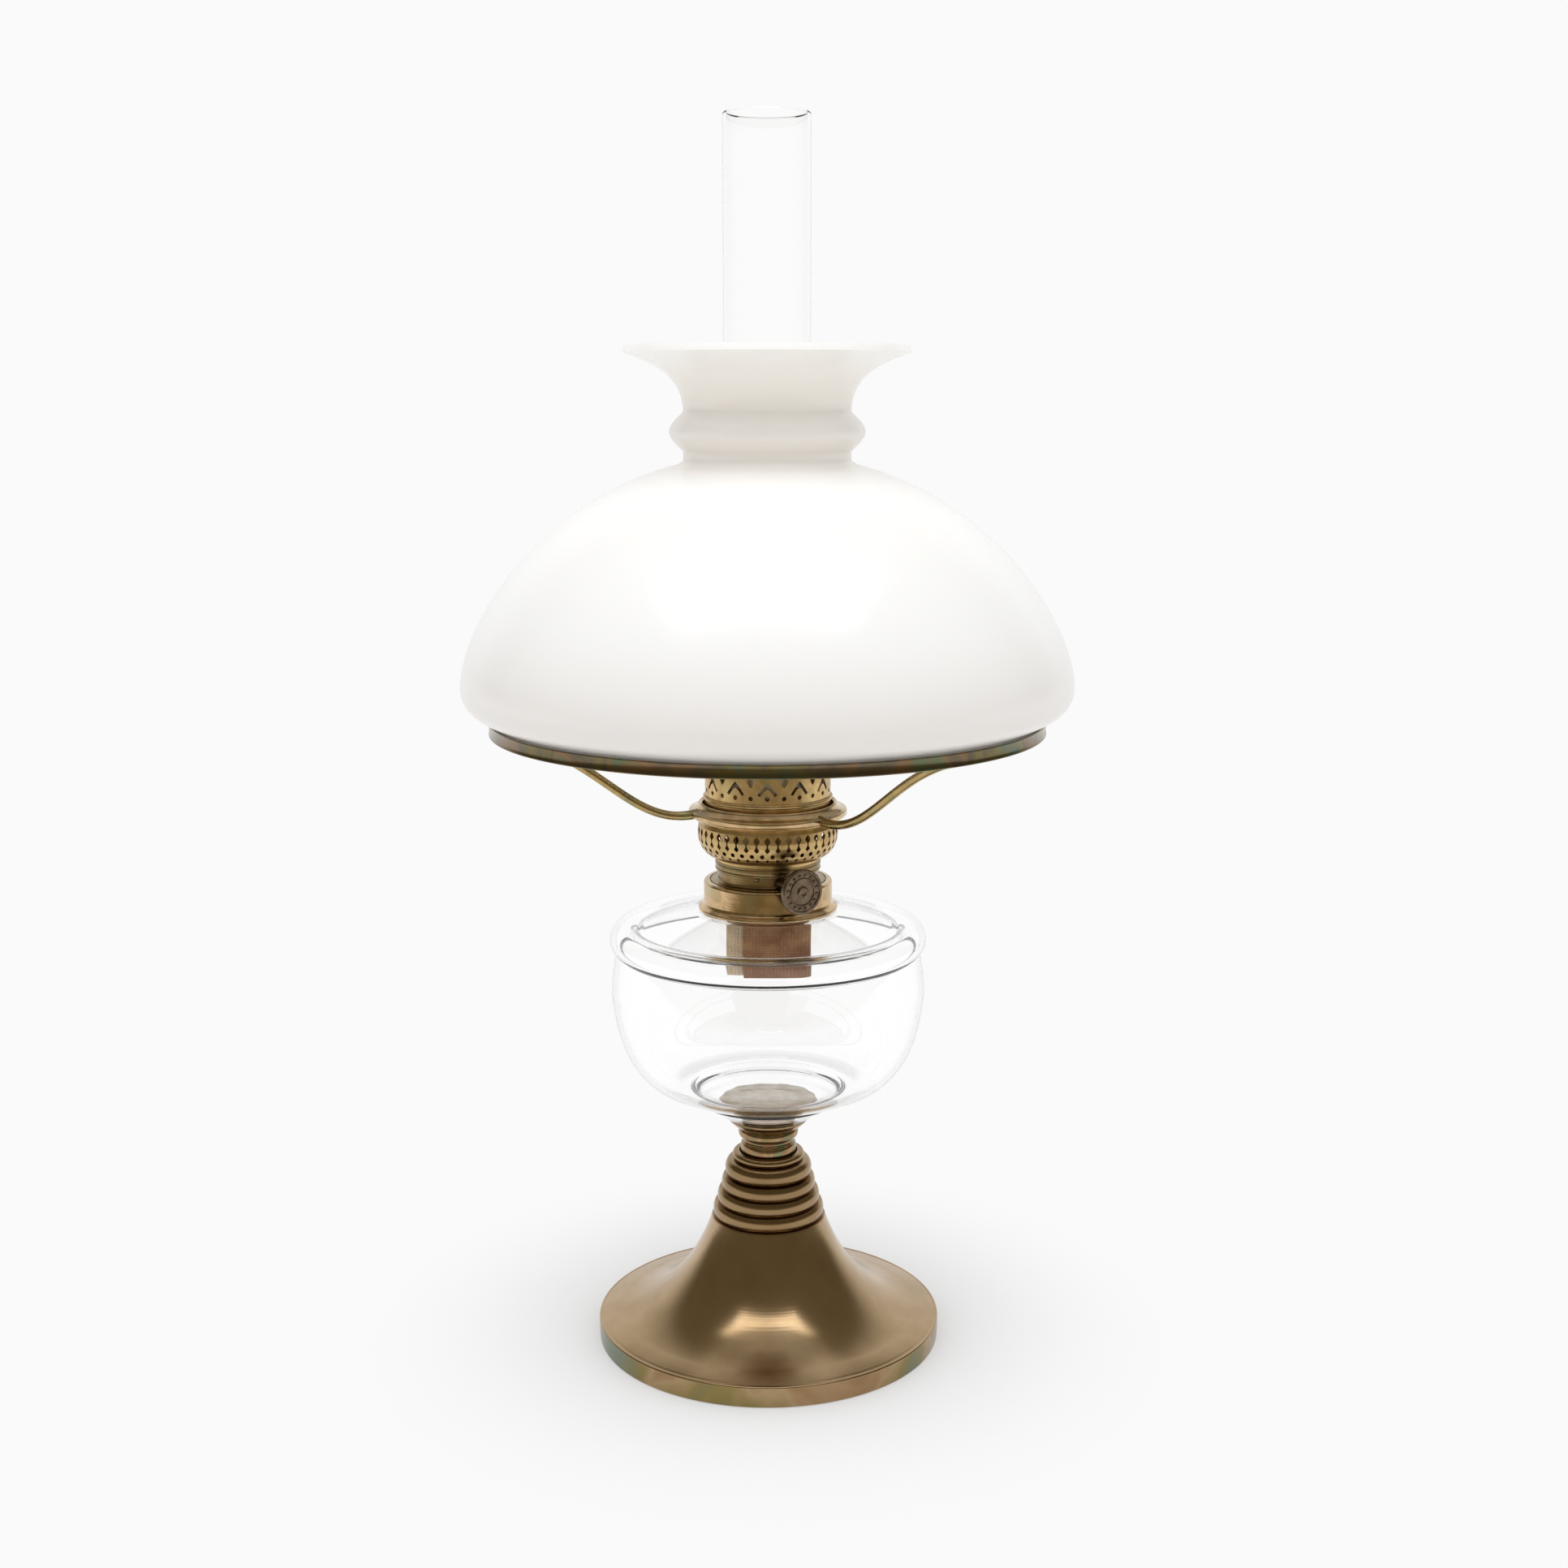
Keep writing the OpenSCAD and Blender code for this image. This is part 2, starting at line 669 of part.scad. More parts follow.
// Gallery with its basket
basket_line = concat([[skirt_out, skirt_z]],
                     sweep4([skirt_out, basket_z + sheet], [skirt_out + 5, basket_z + 1.5],
                            [basket_r, basket_z + 0.35 * basket_h], [basket_r, basket_z + 0.65 * basket_h], 8),
                     [[basket_r - 0.3, gallery_z - 2.4], [basket_r - 1.2, gallery_z]]);
keyhole = [[0, 7.2], [0.8, 6.4], [1.4, 5.3], [0.9, 4.4], [0.35, 3.9], [0.35, 2.6], [1.15, 1.2], [0, 0],
           [-1.15, 1.2], [-0.35, 2.6], [-0.35, 3.9], [-0.9, 4.4], [-1.4, 5.3], [-0.8, 6.4]];
diamond = [[0, 0.9], [0.8, 0], [0, -0.9], [-0.8, 0]];

module basket() {
    color("goldenrod")
        difference() {
            union() {
                turned(shell(basket_line, sheet));
                tube(skirt_out - sheet / 2, neck_r - 2 * sheet, basket_z, basket_z + sheet);
                tube(basket_r - 1.2, gallery_r - sheet, gallery_z - sheet, gallery_z);
            }
            pierced(basket_holes, basket_r, gallery_z - keyhole_drop) polygon(keyhole);
            pierced(basket_holes, basket_r, gallery_z - round_drop, 180 / basket_holes) circle(0.95);
            pierced(basket_holes, basket_r, gallery_z - diamond_drop) polygon(diamond);
        }
}

arch = [[0, 5.7], [1.1, 4.6], [4.2, 0.4], [3.1, -0.4], [1.1, 2.3], [0, 3],
        [-1.1, 2.3], [-3.1, -0.4], [-4.2, 0.4], [-1.1, 4.6]];
drop = [[0, 0], [1.3, 1.6], [1.7, 3.2], [1.2, 4.8], [0, 5.6], [-1.2, 4.8], [-1.7, 3.2], [-1.3, 1.6]];

module gallery() {
    wall = concat([[gallery_r, gallery_z]], bulge(gallery_r + 1, gallery_z + 8.4, 2.2, 1, 6),
                  [[gallery_r, gallery_z + gallery_h]]);
    half = 180 / gallery_holes;
    color("goldenrod")
        difference() {
            union() {
                turned(concat(wall, [[gallery_r - sheet, gallery_z + gallery_h],
                                     [gallery_r - sheet, gallery_z]]));
                tube(gallery_r - sheet / 2, tube_r + sheet + 3, seat_z - sheet, seat_z);
            }
            pierced(2 * gallery_holes, gallery_r, gallery_z + 13.1) circle(1);
            pierced(gallery_holes, gallery_r, gallery_z + 14.4) polygon(arch);
            pierced(gallery_holes, gallery_r, gallery_z + 17.6, half) polygon(drop);
            pierced(gallery_holes, gallery_r, gallery_z + gallery_h - 4, half)
                translate([0, 3])
                    square([3, 6.1], center = true);
        }
}

module chimney() {
    line = concat([[chimney_base_r, chimney_z], [chimney_base_r, chimney_z + chimney_waist - chimney_draw]],
                  sweep4([chimney_base_r, chimney_z + chimney_waist - 0.7 * chimney_draw],
                         [chimney_base_r, chimney_z + chimney_waist],
                         [chimney_r, chimney_z + chimney_waist],
                         [chimney_r, chimney_z + chimney_waist + chimney_draw], 8),
                  [[chimney_r, chimney_z + chimney_h]]);
    color("azure", 0.3) turned(shell(line, chimney_wall));
}

// Shade holder
module holder_hub() {
    color("darkgoldenrod")
        turned([[hub_in, hub_z], [hub_r - 2.4, hub_z], [hub_r - 2, hub_z + 0.5], [hub_r - 1.2, hub_z + 0.9],
                [hub_r, hub_z + 1.4], [hub_r, hub_z + 3.4], [hub_r - 0.8, hub_z + 4],
                [hub_in + 2.4, hub_z + hub_h - 1.6], [hub_in + 1.8, hub_z + hub_h], [hub_in, hub_z + hub_h]]);
}

arm_line = sweep4([hub_in + 2.4, hub_z + 2.8], [hub_r + 25.7, hub_z - 3.3],
                  [arm_end_r - 40, arm_end_z - 8.8], [arm_end_r, arm_end_z], 16);
lug_r = (ledge_w - ring_wall - run_gap) / 2;

// A round rod along a line in the plane of X and Z
module bent_rod(line, r, steps = 12) {
    last = len(line) - 1;
    points = [for (i = [0:last])
        let (a = line[max(i - 1, 0)], b = line[min(i + 1, last)], out = side(a, b))
        each [for (k = [0:steps - 1])
            let (t = 360 * k / steps)
            [line[i][0] + out[0] * r * cos(t), r * sin(t), line[i][1] + out[1] * r * cos(t)]]];
    skin = [for (i = [0:last - 1], k = [0:steps - 1])
        let (a = i * steps + k, b = i * steps + (k + 1) % steps)
        each [[a, a + steps, b], [b, a + steps, b + steps]]];
    ends = [[for (k = [0:steps - 1]) k], [for (k = [steps - 1:-1:0]) last * steps + k]];
    polyhedron(points, concat(skin, ends));
}

module holder_arm(turn) {
    color("goldenrod")
        rotate([0, 0, turn + arm_dir - 90]) {
            bent_rod(arm_line, arm_r);
            translate([arm_end_r + lug_r, 0, ledge_z - lug_t])
                cylinder(lug_t, r = lug_r);
            translate([arm_end_r - 1, -arm_r, ledge_z - lug_t])
                cube([lug_r + 1, 2 * arm_r, lug_t]);
        }
}
module holder_arm_right() { holder_arm(0); }
module holder_arm_left() { holder_arm(-arm_step); }
module holder_arm_back() { holder_arm(arm_step); }

module holder_ring() {
    in = ring_r - ring_wall;
    color("darkgoldenrod")
        turned([[arm_end_r, ledge_z], [in, ledge_z], [in, ring_z], [ring_r, ring_z],
                [ring_r, ring_z + ring_band_h],
                [in, ring_z + ring_band_h], [in, ledge_z + ring_wall], [arm_end_r, ledge_z + ring_wall]]);
}

// Shade
module shade() {
    fitter_top = ring_z + ring_band_h + lift_gap;
    belly = shade_z + shade_belly_h;
    low_neck = shade_top_z + shade_neck_h;
    high_neck = low_neck + shade_bead_h;
    lip_z = high_neck + flare_h + shade_neck_h / 2;
    line = concat([[fitter_r, shade_z], [fitter_r, fitter_top]],
                  sweep3([fitter_r + 1, fitter_top + 0.8], [shade_r - 1, fitter_top + 4], [shade_r, belly], 8),
                  sweep4([shade_r, belly + 1], [shade_r, belly + 0.28 * dome_h],
                         [shade_neck_r + 0.64 * (shade_r - shade_neck_r), belly + 0.84 * dome_h],
                         [shade_neck_r + 0.6, shade_top_z]),
                  [[shade_neck_r, low_neck - 1]],
                  bulge(shade_neck_r + shade_bead_out, low_neck, shade_bead_h, shade_bead_out),
                  sweep4([shade_neck_r, high_neck + 2], [shade_neck_r + 0.8, high_neck + 0.75 * flare_h],
                         [lip_r - 12, high_neck + 0.95 * flare_h], [lip_r, lip_z], 8));
    color("whitesmoke") turned(shell(line, shade_wall));
}

foot_shell();
foot_bottom_plate();
foot_felt();
foot_ballast();
tie_rod();
tie_washer();
tie_nut();
stem_spool();
lower_plaster();
font();
upper_plaster();
collar();
burner_gasket();
burner_base();
outer_wick_tube();
inner_air_tube();
air_duct();
shaft_bush();
wick_shaft();
star_wheel();
wick_knob();
wick();
basket();
gallery();
chimney();
holder_hub();
holder_arm_right();
holder_arm_left();
holder_arm_back();
holder_ring();
shade();
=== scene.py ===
# %% [markdown]
# # A kerosene table lamp in brass and glass
#
# The lamp is a stack of turned pieces: a spun foot, a glass oil font, a burner, a chimney and a dome
# shade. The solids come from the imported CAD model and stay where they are. Most pieces that show are made
# again here as smooth meshes of the same size, because a solid that is right for measuring is too coarse
# for a close look. The pierced basket and gallery, and what is hidden inside, stay as solids and only get
# a material.

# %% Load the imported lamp
import json
import math

import bmesh
import bpy
from mathutils import Matrix, Vector


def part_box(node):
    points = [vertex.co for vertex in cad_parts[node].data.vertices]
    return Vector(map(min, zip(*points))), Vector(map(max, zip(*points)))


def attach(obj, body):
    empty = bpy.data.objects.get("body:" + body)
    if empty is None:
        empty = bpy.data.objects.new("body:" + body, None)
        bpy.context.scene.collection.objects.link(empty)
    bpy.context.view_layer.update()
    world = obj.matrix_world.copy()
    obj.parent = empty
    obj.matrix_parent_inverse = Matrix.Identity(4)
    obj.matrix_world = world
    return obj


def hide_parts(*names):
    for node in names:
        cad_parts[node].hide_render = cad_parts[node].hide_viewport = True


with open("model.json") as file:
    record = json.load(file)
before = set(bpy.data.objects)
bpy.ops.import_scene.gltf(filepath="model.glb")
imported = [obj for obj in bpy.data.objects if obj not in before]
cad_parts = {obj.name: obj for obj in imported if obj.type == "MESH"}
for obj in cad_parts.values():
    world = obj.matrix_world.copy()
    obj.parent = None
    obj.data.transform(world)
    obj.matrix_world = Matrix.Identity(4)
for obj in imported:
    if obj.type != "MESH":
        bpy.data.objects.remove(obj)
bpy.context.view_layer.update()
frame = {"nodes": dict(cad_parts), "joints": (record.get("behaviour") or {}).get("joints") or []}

MM = 0.001


# %% [markdown]
# Sizes below start from the box of a CAD node, so a piece made here sits exactly where its solid sits.
# Lathe work is easiest to think about in millimetres, so the boxes are turned into radii and heights
# once.

# %% Read sizes off the solids
def radius(node):
    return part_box(node)[1][0] / MM


def foot_of(node):
    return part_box(node)[0][2] / MM


def top_of(node):
    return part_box(node)[1][2] / MM


print("lamp height", round(top_of("chimney"), 1), "mm, shade radius", round(radius("shade"), 1), "mm")


# %% [markdown]
# A lathe turns a profile round an axis. The profiles are built from three kinds of line: a Bezier sweep
# for a freely drawn curve, an arc for a true round, and a bead for the half-round rings that a turner
# cuts. The Screw modifier could spin them too, but writing the rings of vertices directly keeps the mesh
# clean at the axis and lets sharp edges be marked by angle.

# %% Profile lines
def sweep(controls, steps=24):
    """A Bezier curve of any order: neighbouring control points are blended until one is left."""
    line = []
    for i in range(steps + 1):
        points = [Vector(c) for c in controls]
        while len(points) > 1:
            points = [a.lerp(b, i / steps) for a, b in zip(points, points[1:])]
        line.append(points[0])
    return line


def arc(centre, r, start, end, steps=16):
    angles = [math.radians(start + (end - start) * i / steps) for i in range(steps + 1)]
    return [Vector(centre) + r * Vector((math.cos(a), math.sin(a))) for a in angles]


def bead(r, z, height, out, steps=16, span=90):
    """A half-round ring; a span below 90 degrees to each side gives a flatter one with open grooves."""
    low, reach = math.cos(math.radians(span)), math.sin(math.radians(span))
    angles = [math.radians(span * (2 * i / steps - 1)) for i in range(steps + 1)]
    return [Vector((r - out * (1 - math.cos(a)) / (1 - low), z + height / 2 * (1 + math.sin(a) / reach)))
            for a in angles]


def inset(line, thickness):
    """Moves a profile inwards by one wall and keeps its corners."""
    points = [Vector(p) for p in line]
    moved = []
    for i, p in enumerate(points):
        before = points[max(i - 1, 0)], points[max(i, 1)]
        after = points[min(i, len(points) - 2)], points[min(i + 1, len(points) - 1)]
        sides = []
        for a, b in (before, after):
            d = (b - a).normalized()
            sides.append(Vector((d.y, -d.x)))
        moved.append(p - thickness * (sides[0] + sides[1]) / (1 + sides[0].dot(sides[1])))
    return moved


print("a test bead has", len(bead(10, 0, 4, 1)), "points")


# %% [markdown]
# The lathe itself joins one ring of vertices to the next. A point on the axis becomes a single vertex, so
# the faces there are triangles. A second helper puts each finished piece on the body of the CAD model
# that moves it.

# %% The lathe and the fitting
def spun(name, outline, steps=192, crease=35):
    """Turns a closed profile of (radius, height) points in millimetres round the lamp's axis."""
    mesh = bpy.data.meshes.new(name)
    shape = bmesh.new()
    rings = []
    for r, z in outline:
        count = 1 if r < 1e-4 else steps
        angles = [2 * math.pi * k / steps for k in range(count)]
        spots = [(r * MM * math.cos(a), r * MM * math.sin(a), z * MM) for a in angles]
        rings.append([shape.verts.new(spot) for spot in spots])
    for low, high in zip(rings, rings[1:] + rings[:1]):
        for k in range(steps):
            n = k + 1
            corners = [low[k % len(low)], low[n % len(low)], high[n % len(high)], high[k % len(high)]]
            corners = list(dict.fromkeys(corners))
            if len(corners) > 2:
                shape.faces.new(corners)
    bmesh.ops.recalc_face_normals(shape, faces=shape.faces)
    shape.to_mesh(mesh)
    shape.free()
    mesh.shade_smooth()
    mesh.set_sharp_from_angle(angle=math.radians(crease))
    piece = bpy.data.objects.new(name, mesh)
    bpy.context.scene.collection.objects.link(piece)
    return piece


def fit(piece, body, material, slot, *nodes):
    """Puts a finished piece on its CAD body, in place of the nodes that it stands for."""
    piece.data.materials.clear()
    piece.data.materials.append(material)
    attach(piece, body)
    if nodes:
        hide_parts(*nodes)
    print(piece.name, "rides on", body, "with", len(piece.data.vertices), "vertices")
    return piece


# %% [markdown]
# Materials are node trees. Colours are written as the hex values that a picture editor shows, and one
# function turns them into the linear values that Blender's shaders work in. Another small function adds
# any node, sets its values and makes its links, so that a material reads as a short list.

# %% Colour and node helpers
def colour(code):
    channels = [int(code[i:i + 2], 16) / 255 for i in (1, 3, 5)]
    linear = [c / 12.92 if c <= 0.04045 else ((c + 0.055) / 1.055) ** 2.4 for c in channels]
    return (*linear, 1)


def add_node(tree, kind, settings=None, stops=(), **inputs):
    """Adds any node: settings are its properties, stops its colour ramp, inputs its values or links.

    An input is given by its name, with _ for a space, or by its place, as in i0 for the first.
    """
    node = tree.nodes.new("ShaderNode" + kind)
    for name, value in (settings or {}).items():
        setattr(node, name, value)
    for i, (place, code) in enumerate(stops):
        if i == len(node.color_ramp.elements):
            node.color_ramp.elements.new(1)
        node.color_ramp.elements[i].position = place
        node.color_ramp.elements[i].color = colour(code)
    for name, value in inputs.items():
        index = name[1:]
        socket = node.inputs[int(index) if name[0] == "i" and index.isdigit() else name.replace("_", " ")]
        if isinstance(value, bpy.types.NodeSocket):
            tree.links.new(value, socket)
        else:
            socket.default_value = value
    return node


def new_material(name):
    material = bpy.data.materials.new(name)
    material.use_nodes = True
    tree = material.node_tree
    return material, tree, tree.nodes["Principled BSDF"]


print("mid grey #808080 is", round(colour("#808080")[0], 3), "in linear light")


# %% [markdown]
# Old brass is a metal with a thin brown skin. Seen close it has three things: soft blotches where the
# skin is thicker, fine rings left by the lathe or the spinning tool, and patches of green, olive and
# orange where the skin is just thick enough to colour the light. The rings run round the axis, so their
# noise is read from the distance to the axis and the height alone. Real tool lines lie 0.1 to 0.3 mm
# apart, which is too fine to show, so they are drawn about 1 mm apart. Patches are plain colour here,
# because a real thin film would need a layer that the exported model cannot carry.

# %% Tarnished brass
MIX_COLOURS = {"data_type": "RGBA"}
MULTIPLY_COLOURS = {"data_type": "RGBA", "blend_type": "MULTIPLY"}
# A thick skin is rougher than a thin one; patches end over a soft edge, in mm.
THICK_ROUGH, THIN_ROUGH, PATCH_EDGE = 1.15, 0.97, 0.4
# Hands darken the metal, and wiping has smoothed it between the two heights, in mm.
HANDLED_SHADE, RUB_LOW, RUB_HIGH, RUBBED = "#d8d2c8", 14, 20, 0.82


def tarnished_brass(name, skin, light, roughness, blotch_mm, ring_mm, patches=0.0, patch_top=None,
                    handled_from=None):
    """Brass with a skin; patches stay below patch_top, and hands have darkened it above handled_from."""
    material, tree, shader = new_material(name)
    place = add_node(tree, "TexCoord").outputs["Object"]
    x, y, z = add_node(tree, "SeparateXYZ", Vector=place).outputs
    flat = add_node(tree, "CombineXYZ", X=x, Y=y).outputs[0]
    out = add_node(tree, "VectorMath", {"operation": "LENGTH"}, i0=flat).outputs["Value"]
    lathe = add_node(tree, "CombineXYZ", X=out, Y=z).outputs[0]
    rings = add_node(tree, "TexNoise", Vector=lathe, Scale=1 / (ring_mm * MM), Detail=3).outputs["Fac"]
    blotches = add_node(tree, "TexNoise", Vector=place, Scale=1 / (blotch_mm * MM), Detail=6,
                        Roughness=0.6).outputs["Fac"]
    base = add_node(tree, "ValToRGB", stops=[(0.35, skin), (0.65, light)], Fac=blotches).outputs["Color"]
    if patches:
        spread = add_node(tree, "TexNoise", Vector=place, Scale=0.5 / (blotch_mm * MM), Detail=3,
                          Distortion=0.6).outputs["Fac"]
        film = [(0.34, "#587668"), (0.44, "#80733d"), (0.52, skin), (0.58, "#8f6b48"), (0.66, "#687756")]
        tints = add_node(tree, "ValToRGB", stops=film, Fac=spread).outputs["Color"]
        amount = patches
        if patch_top:
            amount = add_node(tree, "MapRange", Value=z, From_Min=(patch_top + PATCH_EDGE) * MM,
                              From_Max=(patch_top - PATCH_EDGE) * MM, To_Max=patches).outputs["Result"]
        base = add_node(tree, "Mix", MIX_COLOURS, i0=amount, i6=base, i7=tints).outputs[2]
    rough = add_node(tree, "MapRange", Value=blotches, From_Min=0.3, From_Max=0.7,
                     To_Min=roughness * THICK_ROUGH, To_Max=roughness * THIN_ROUGH).outputs["Result"]
    if handled_from:
        handled = add_node(tree, "MapRange", Value=z, From_Min=(handled_from - 1) * MM,
                           From_Max=handled_from * MM).outputs["Result"]
        base = add_node(tree, "Mix", MULTIPLY_COLOURS, i0=handled, i6=base,
                        i7=colour(HANDLED_SHADE)).outputs[2]
        rub = add_node(tree, "MapRange", Value=z, From_Min=RUB_LOW * MM, From_Max=RUB_HIGH * MM, To_Min=1,
                       To_Max=RUBBED).outputs["Result"]
        rough = add_node(tree, "Math", {"operation": "MULTIPLY"}, i0=rough, i1=rub).outputs[0]
    tree.links.new(base, shader.inputs["Base Color"])
    tree.links.new(rough, shader.inputs["Roughness"])
    bump = add_node(tree, "Bump", Height=rings, Strength=0.12, Distance=0.0002)
    tree.links.new(bump.outputs["Normal"], shader.inputs["Normal"])
    shader.inputs["Metallic"].default_value = 1
    return material


# %% [markdown]
# Eight finishes come from that one function. They differ in how the brass was worked and in what touched
# it since.

# %% Brass finishes
# Spun over a form and wiped: soft satin light, with colours left only on the rim, where damp gathers.
spun_brass = tarnished_brass("spun_brass_satin", "#a98f6b", "#b99f7c", 0.23, 30, 0.8, patches=0.75,
                             patch_top=9, handled_from=55.5)
# Turned and once polished: small sharp reflections under a thin brown skin.
turned_brass = tarnished_brass("turned_brass_tarnished", "#c6a67c", "#e4c69a", 0.14, 9, 0.6, patches=0.35)
# Turned too, but out of reach of the cloth: the skin has gone to green, olive and orange.
spool_brass = tarnished_brass("turned_brass_coloured", "#a5886a", "#c0a27e", 0.12, 9, 0.6, patches=0.7)
# Pressed and pierced sheet: wide soft highlights.
pressed_brass = tarnished_brass("pressed_sheet_brass", "#c2a06a", "#e2c38a", 0.29, 7, 1.2, patches=0.2)
# The same sheet, darker and a little smoother.
dull_brass = tarnished_brass("pressed_sheet_brass_dull", "#86704e", "#a0875f", 0.235, 6, 1.0, patches=0.3)
# Drawn wire: one long thin highlight along each arm.
drawn_brass = tarnished_brass("drawn_brass_wire", "#ab935f", "#cbb37e", 0.2, 8, 1.5, patches=0.4)
# A rolled band in the heat and smoke: dark brown, with coloured patches in its reflections.
dark_brass = tarnished_brass("darkened_brass_band", "#625a4b", "#776d5d", 0.18, 14, 1.0, patches=0.6)
# Stamped and never polished: dark relief without a clear reflection.
stamped_brass = tarnished_brass("stamped_dark_brass", "#6b5b4b", "#85745f", 0.3, 3, 1.0)
print("brass finishes:", len(bpy.data.materials))


# %% [markdown]
# Clear glass is a closed body with an outer and an inner skin. The shader bends light at both skins, so
# the dark lines at the rings come from the shape and not from the colour. Its index is that of soda-lime
# glass. The font is pressed in a mould and the chimney is drawn as a tube; both give a smooth skin that
# shows sharp reflections.

# %% Clear glass
SODA_LIME_IOR = 1.52


def clear_glass(name):
    material, tree, shader = new_material(name)
    shader.inputs["Base Color"].default_value = colour("#ffffff")
    shader.inputs["Roughness"].default_value = 0
    shader.inputs["IOR"].default_value = SODA_LIME_IOR
    shader.inputs["Transmission Weight"].default_value = 1
    return material


font_glass = clear_glass("pressed_clear_glass")
chimney_glass = clear_glass("drawn_clear_glass")
print("glass index", SODA_LIME_IOR)


# %% [markdown]
# Milk glass is white all through, and pressing leaves it smooth, so it shows a soft gloss. The colour
# follows the height and paints light in: a painted warm glow where light shines through the thin neck and
# flare, less of it on the bead, and painted shade, a greyer beige, at the foot. Light that wanders a few
# millimetres under the skin (subsurface) takes the hardness off the shadows.

# %% Milk glass
MILK_ROUGHNESS, MILK_SHARE, MILK_DEPTH = 0.22, 0.25, 4


def milk_glass(name, low, high, stops):
    material, tree, shader = new_material(name)
    place = add_node(tree, "TexCoord").outputs["Object"]
    z = add_node(tree, "SeparateXYZ", Vector=place).outputs["Z"]
    # The ramp over the height carries painted shade low down and a painted warm glow near the top.
    height = add_node(tree, "MapRange", Value=z, From_Min=low * MM, From_Max=high * MM).outputs["Result"]
    shades = add_node(tree, "ValToRGB", stops=stops, Fac=height)
    tree.links.new(shades.outputs["Color"], shader.inputs["Base Color"])
    shader.inputs["Roughness"].default_value = MILK_ROUGHNESS
    shader.inputs["Subsurface Weight"].default_value = MILK_SHARE
    shader.inputs["Subsurface Radius"].default_value = (1, 0.9, 0.8)
    shader.inputs["Subsurface Scale"].default_value = MILK_DEPTH * MM
    return material


# %% [markdown]
# The quiet materials inside the lamp still get a surface of their own: felt has tangled fibres, plaster
# and cork have grain, plated steel has fine scratches and cast iron is rough. Oil that dried on the glass
# is a pale film with a varnish-like gloss, which is what the coat layer is for. Fibres and scratches are
# finer than a picture can show, so their grain is drawn at about 1 mm.

# %% Felt, plaster, cork, steel, iron and dried oil
def grained(name, dark, light, grain_mm, roughness, metallic=0.0, depth=0.4):
    material, tree, shader = new_material(name)
    place = add_node(tree, "TexCoord").outputs["Object"]
    grain = add_node(tree, "TexNoise", Vector=place, Scale=1 / (grain_mm * MM), Detail=5).outputs["Fac"]
    shades = add_node(tree, "ValToRGB", stops=[(0.35, dark), (0.65, light)], Fac=grain)
    tree.links.new(shades.outputs["Color"], shader.inputs["Base Color"])
    bump = add_node(tree, "Bump", Height=grain, Strength=depth, Distance=0.0003)
    tree.links.new(bump.outputs["Normal"], shader.inputs["Normal"])
    shader.inputs["Roughness"].default_value = roughness
    shader.inputs["Metallic"].default_value = metallic
    return material


felt = grained("pressed_wool_felt", "#2f3d26", "#46573a", 0.9, 0.95)
plaster = grained("set_plaster", "#b0a28c", "#c6b9a4", 1.4, 0.85)
cork = grained("pressed_cork", "#7a5a3a", "#a0784e", 1.2, 0.9)
plated_steel = grained("zinc_plated_steel", "#8d8c88", "#a9a8a3", 0.8, 0.35, 1.0, 0.1)
dried_oil = grained("dried_oil_film", "#d9bf98", "#fff0d8", 5, 0.3, depth=0.1)
dried_oil.node_tree.nodes["Principled BSDF"].inputs["Coat Weight"].default_value = 1
raw_iron = grained("raw_iron_casting", "#3a3735", "#4d4947", 1.6, 0.6, 1.0)
print("materials so far:", len(bpy.data.materials))

# %% [markdown]
# The solids that stay as they are get their material here. Only their material changes; their mesh and
# their place stay untouched.

# %% Paint the solids
solid_finish = {
    plated_steel: ("foot_bottom_plate", "tie_rod", "tie_washer", "tie_nut"),
    felt: ("foot_felt",),
    raw_iron: ("foot_ballast",),
    plaster: ("lower_plaster", "upper_plaster"),
    cork: ("burner_gasket",),
    pressed_brass: ("outer_wick_tube", "inner_air_tube", "air_duct", "star_wheel", "basket", "gallery"),
    stamped_brass: ("shaft_bush", "wick_shaft"),
}
for finish, nodes in solid_finish.items():
    for node in nodes:
        mesh = frame["nodes"][node].data
        mesh.materials.clear()
        mesh.materials.append(finish)
print("CAD nodes painted:", sum(len(nodes) for nodes in solid_finish.values()))

# %% [markdown]
# The foot is one sheet of brass spun over a form: a rim band, a nearly flat disc, a trumpet that sweeps
# up to the stem, and a stack of stepped rings that end in a crown. The rim is folded over at the top,
# which leaves a thin bright edge with a dark line behind it, so the profile has a small rolled lip and a
# groove there.

# %% Foot
foot_r = radius("foot_shell")
crown_top = top_of("foot_shell")
RIM_H, FOOT_GAP, LIP, SHEET = 9.5, 0.4, 0.7, 1.2
DISC_R, DISC_Z = foot_r - 10.5, RIM_H + 2
TRUMPET_R, TRUMPET_Z = 25.3, 55.5
RING_H, RING_STEP, RING_COUNT = 6.2, 1.9, 3
BROAD_R, BROAD_H, CROWN_R, STEM_BORE, RING_BORE = 19.3, 7.6, 16, 13, 20

rim = [(foot_r - 0.8, FOOT_GAP)]
rim += sweep([(foot_r - 0.2, FOOT_GAP), (foot_r + 0.1, RIM_H / 2), (foot_r - 0.1, RIM_H - LIP)], 8)
rolled = arc((foot_r - LIP, RIM_H - LIP), LIP, 0, 110, 10)
groove = sweep([(foot_r - 1.5 * LIP, RIM_H - 0.1), (foot_r - 2.2 * LIP, RIM_H - 0.1),
                (foot_r - 4 * LIP, RIM_H + 0.5)], 6)
trumpet = sweep([(DISC_R, DISC_Z), (TRUMPET_R + 12.3, DISC_Z + 7.8), (TRUMPET_R, TRUMPET_Z)], 48)
ring_stack = []
for i in range(RING_COUNT):
    ring_stack += bead(TRUMPET_R - RING_STEP * (i + 0.3), TRUMPET_Z + i * RING_H, RING_H, 0.9, span=55)
broad_z = TRUMPET_Z + RING_COUNT * RING_H
broad = bead(BROAD_R, broad_z, BROAD_H, 1.6, 24, span=65)
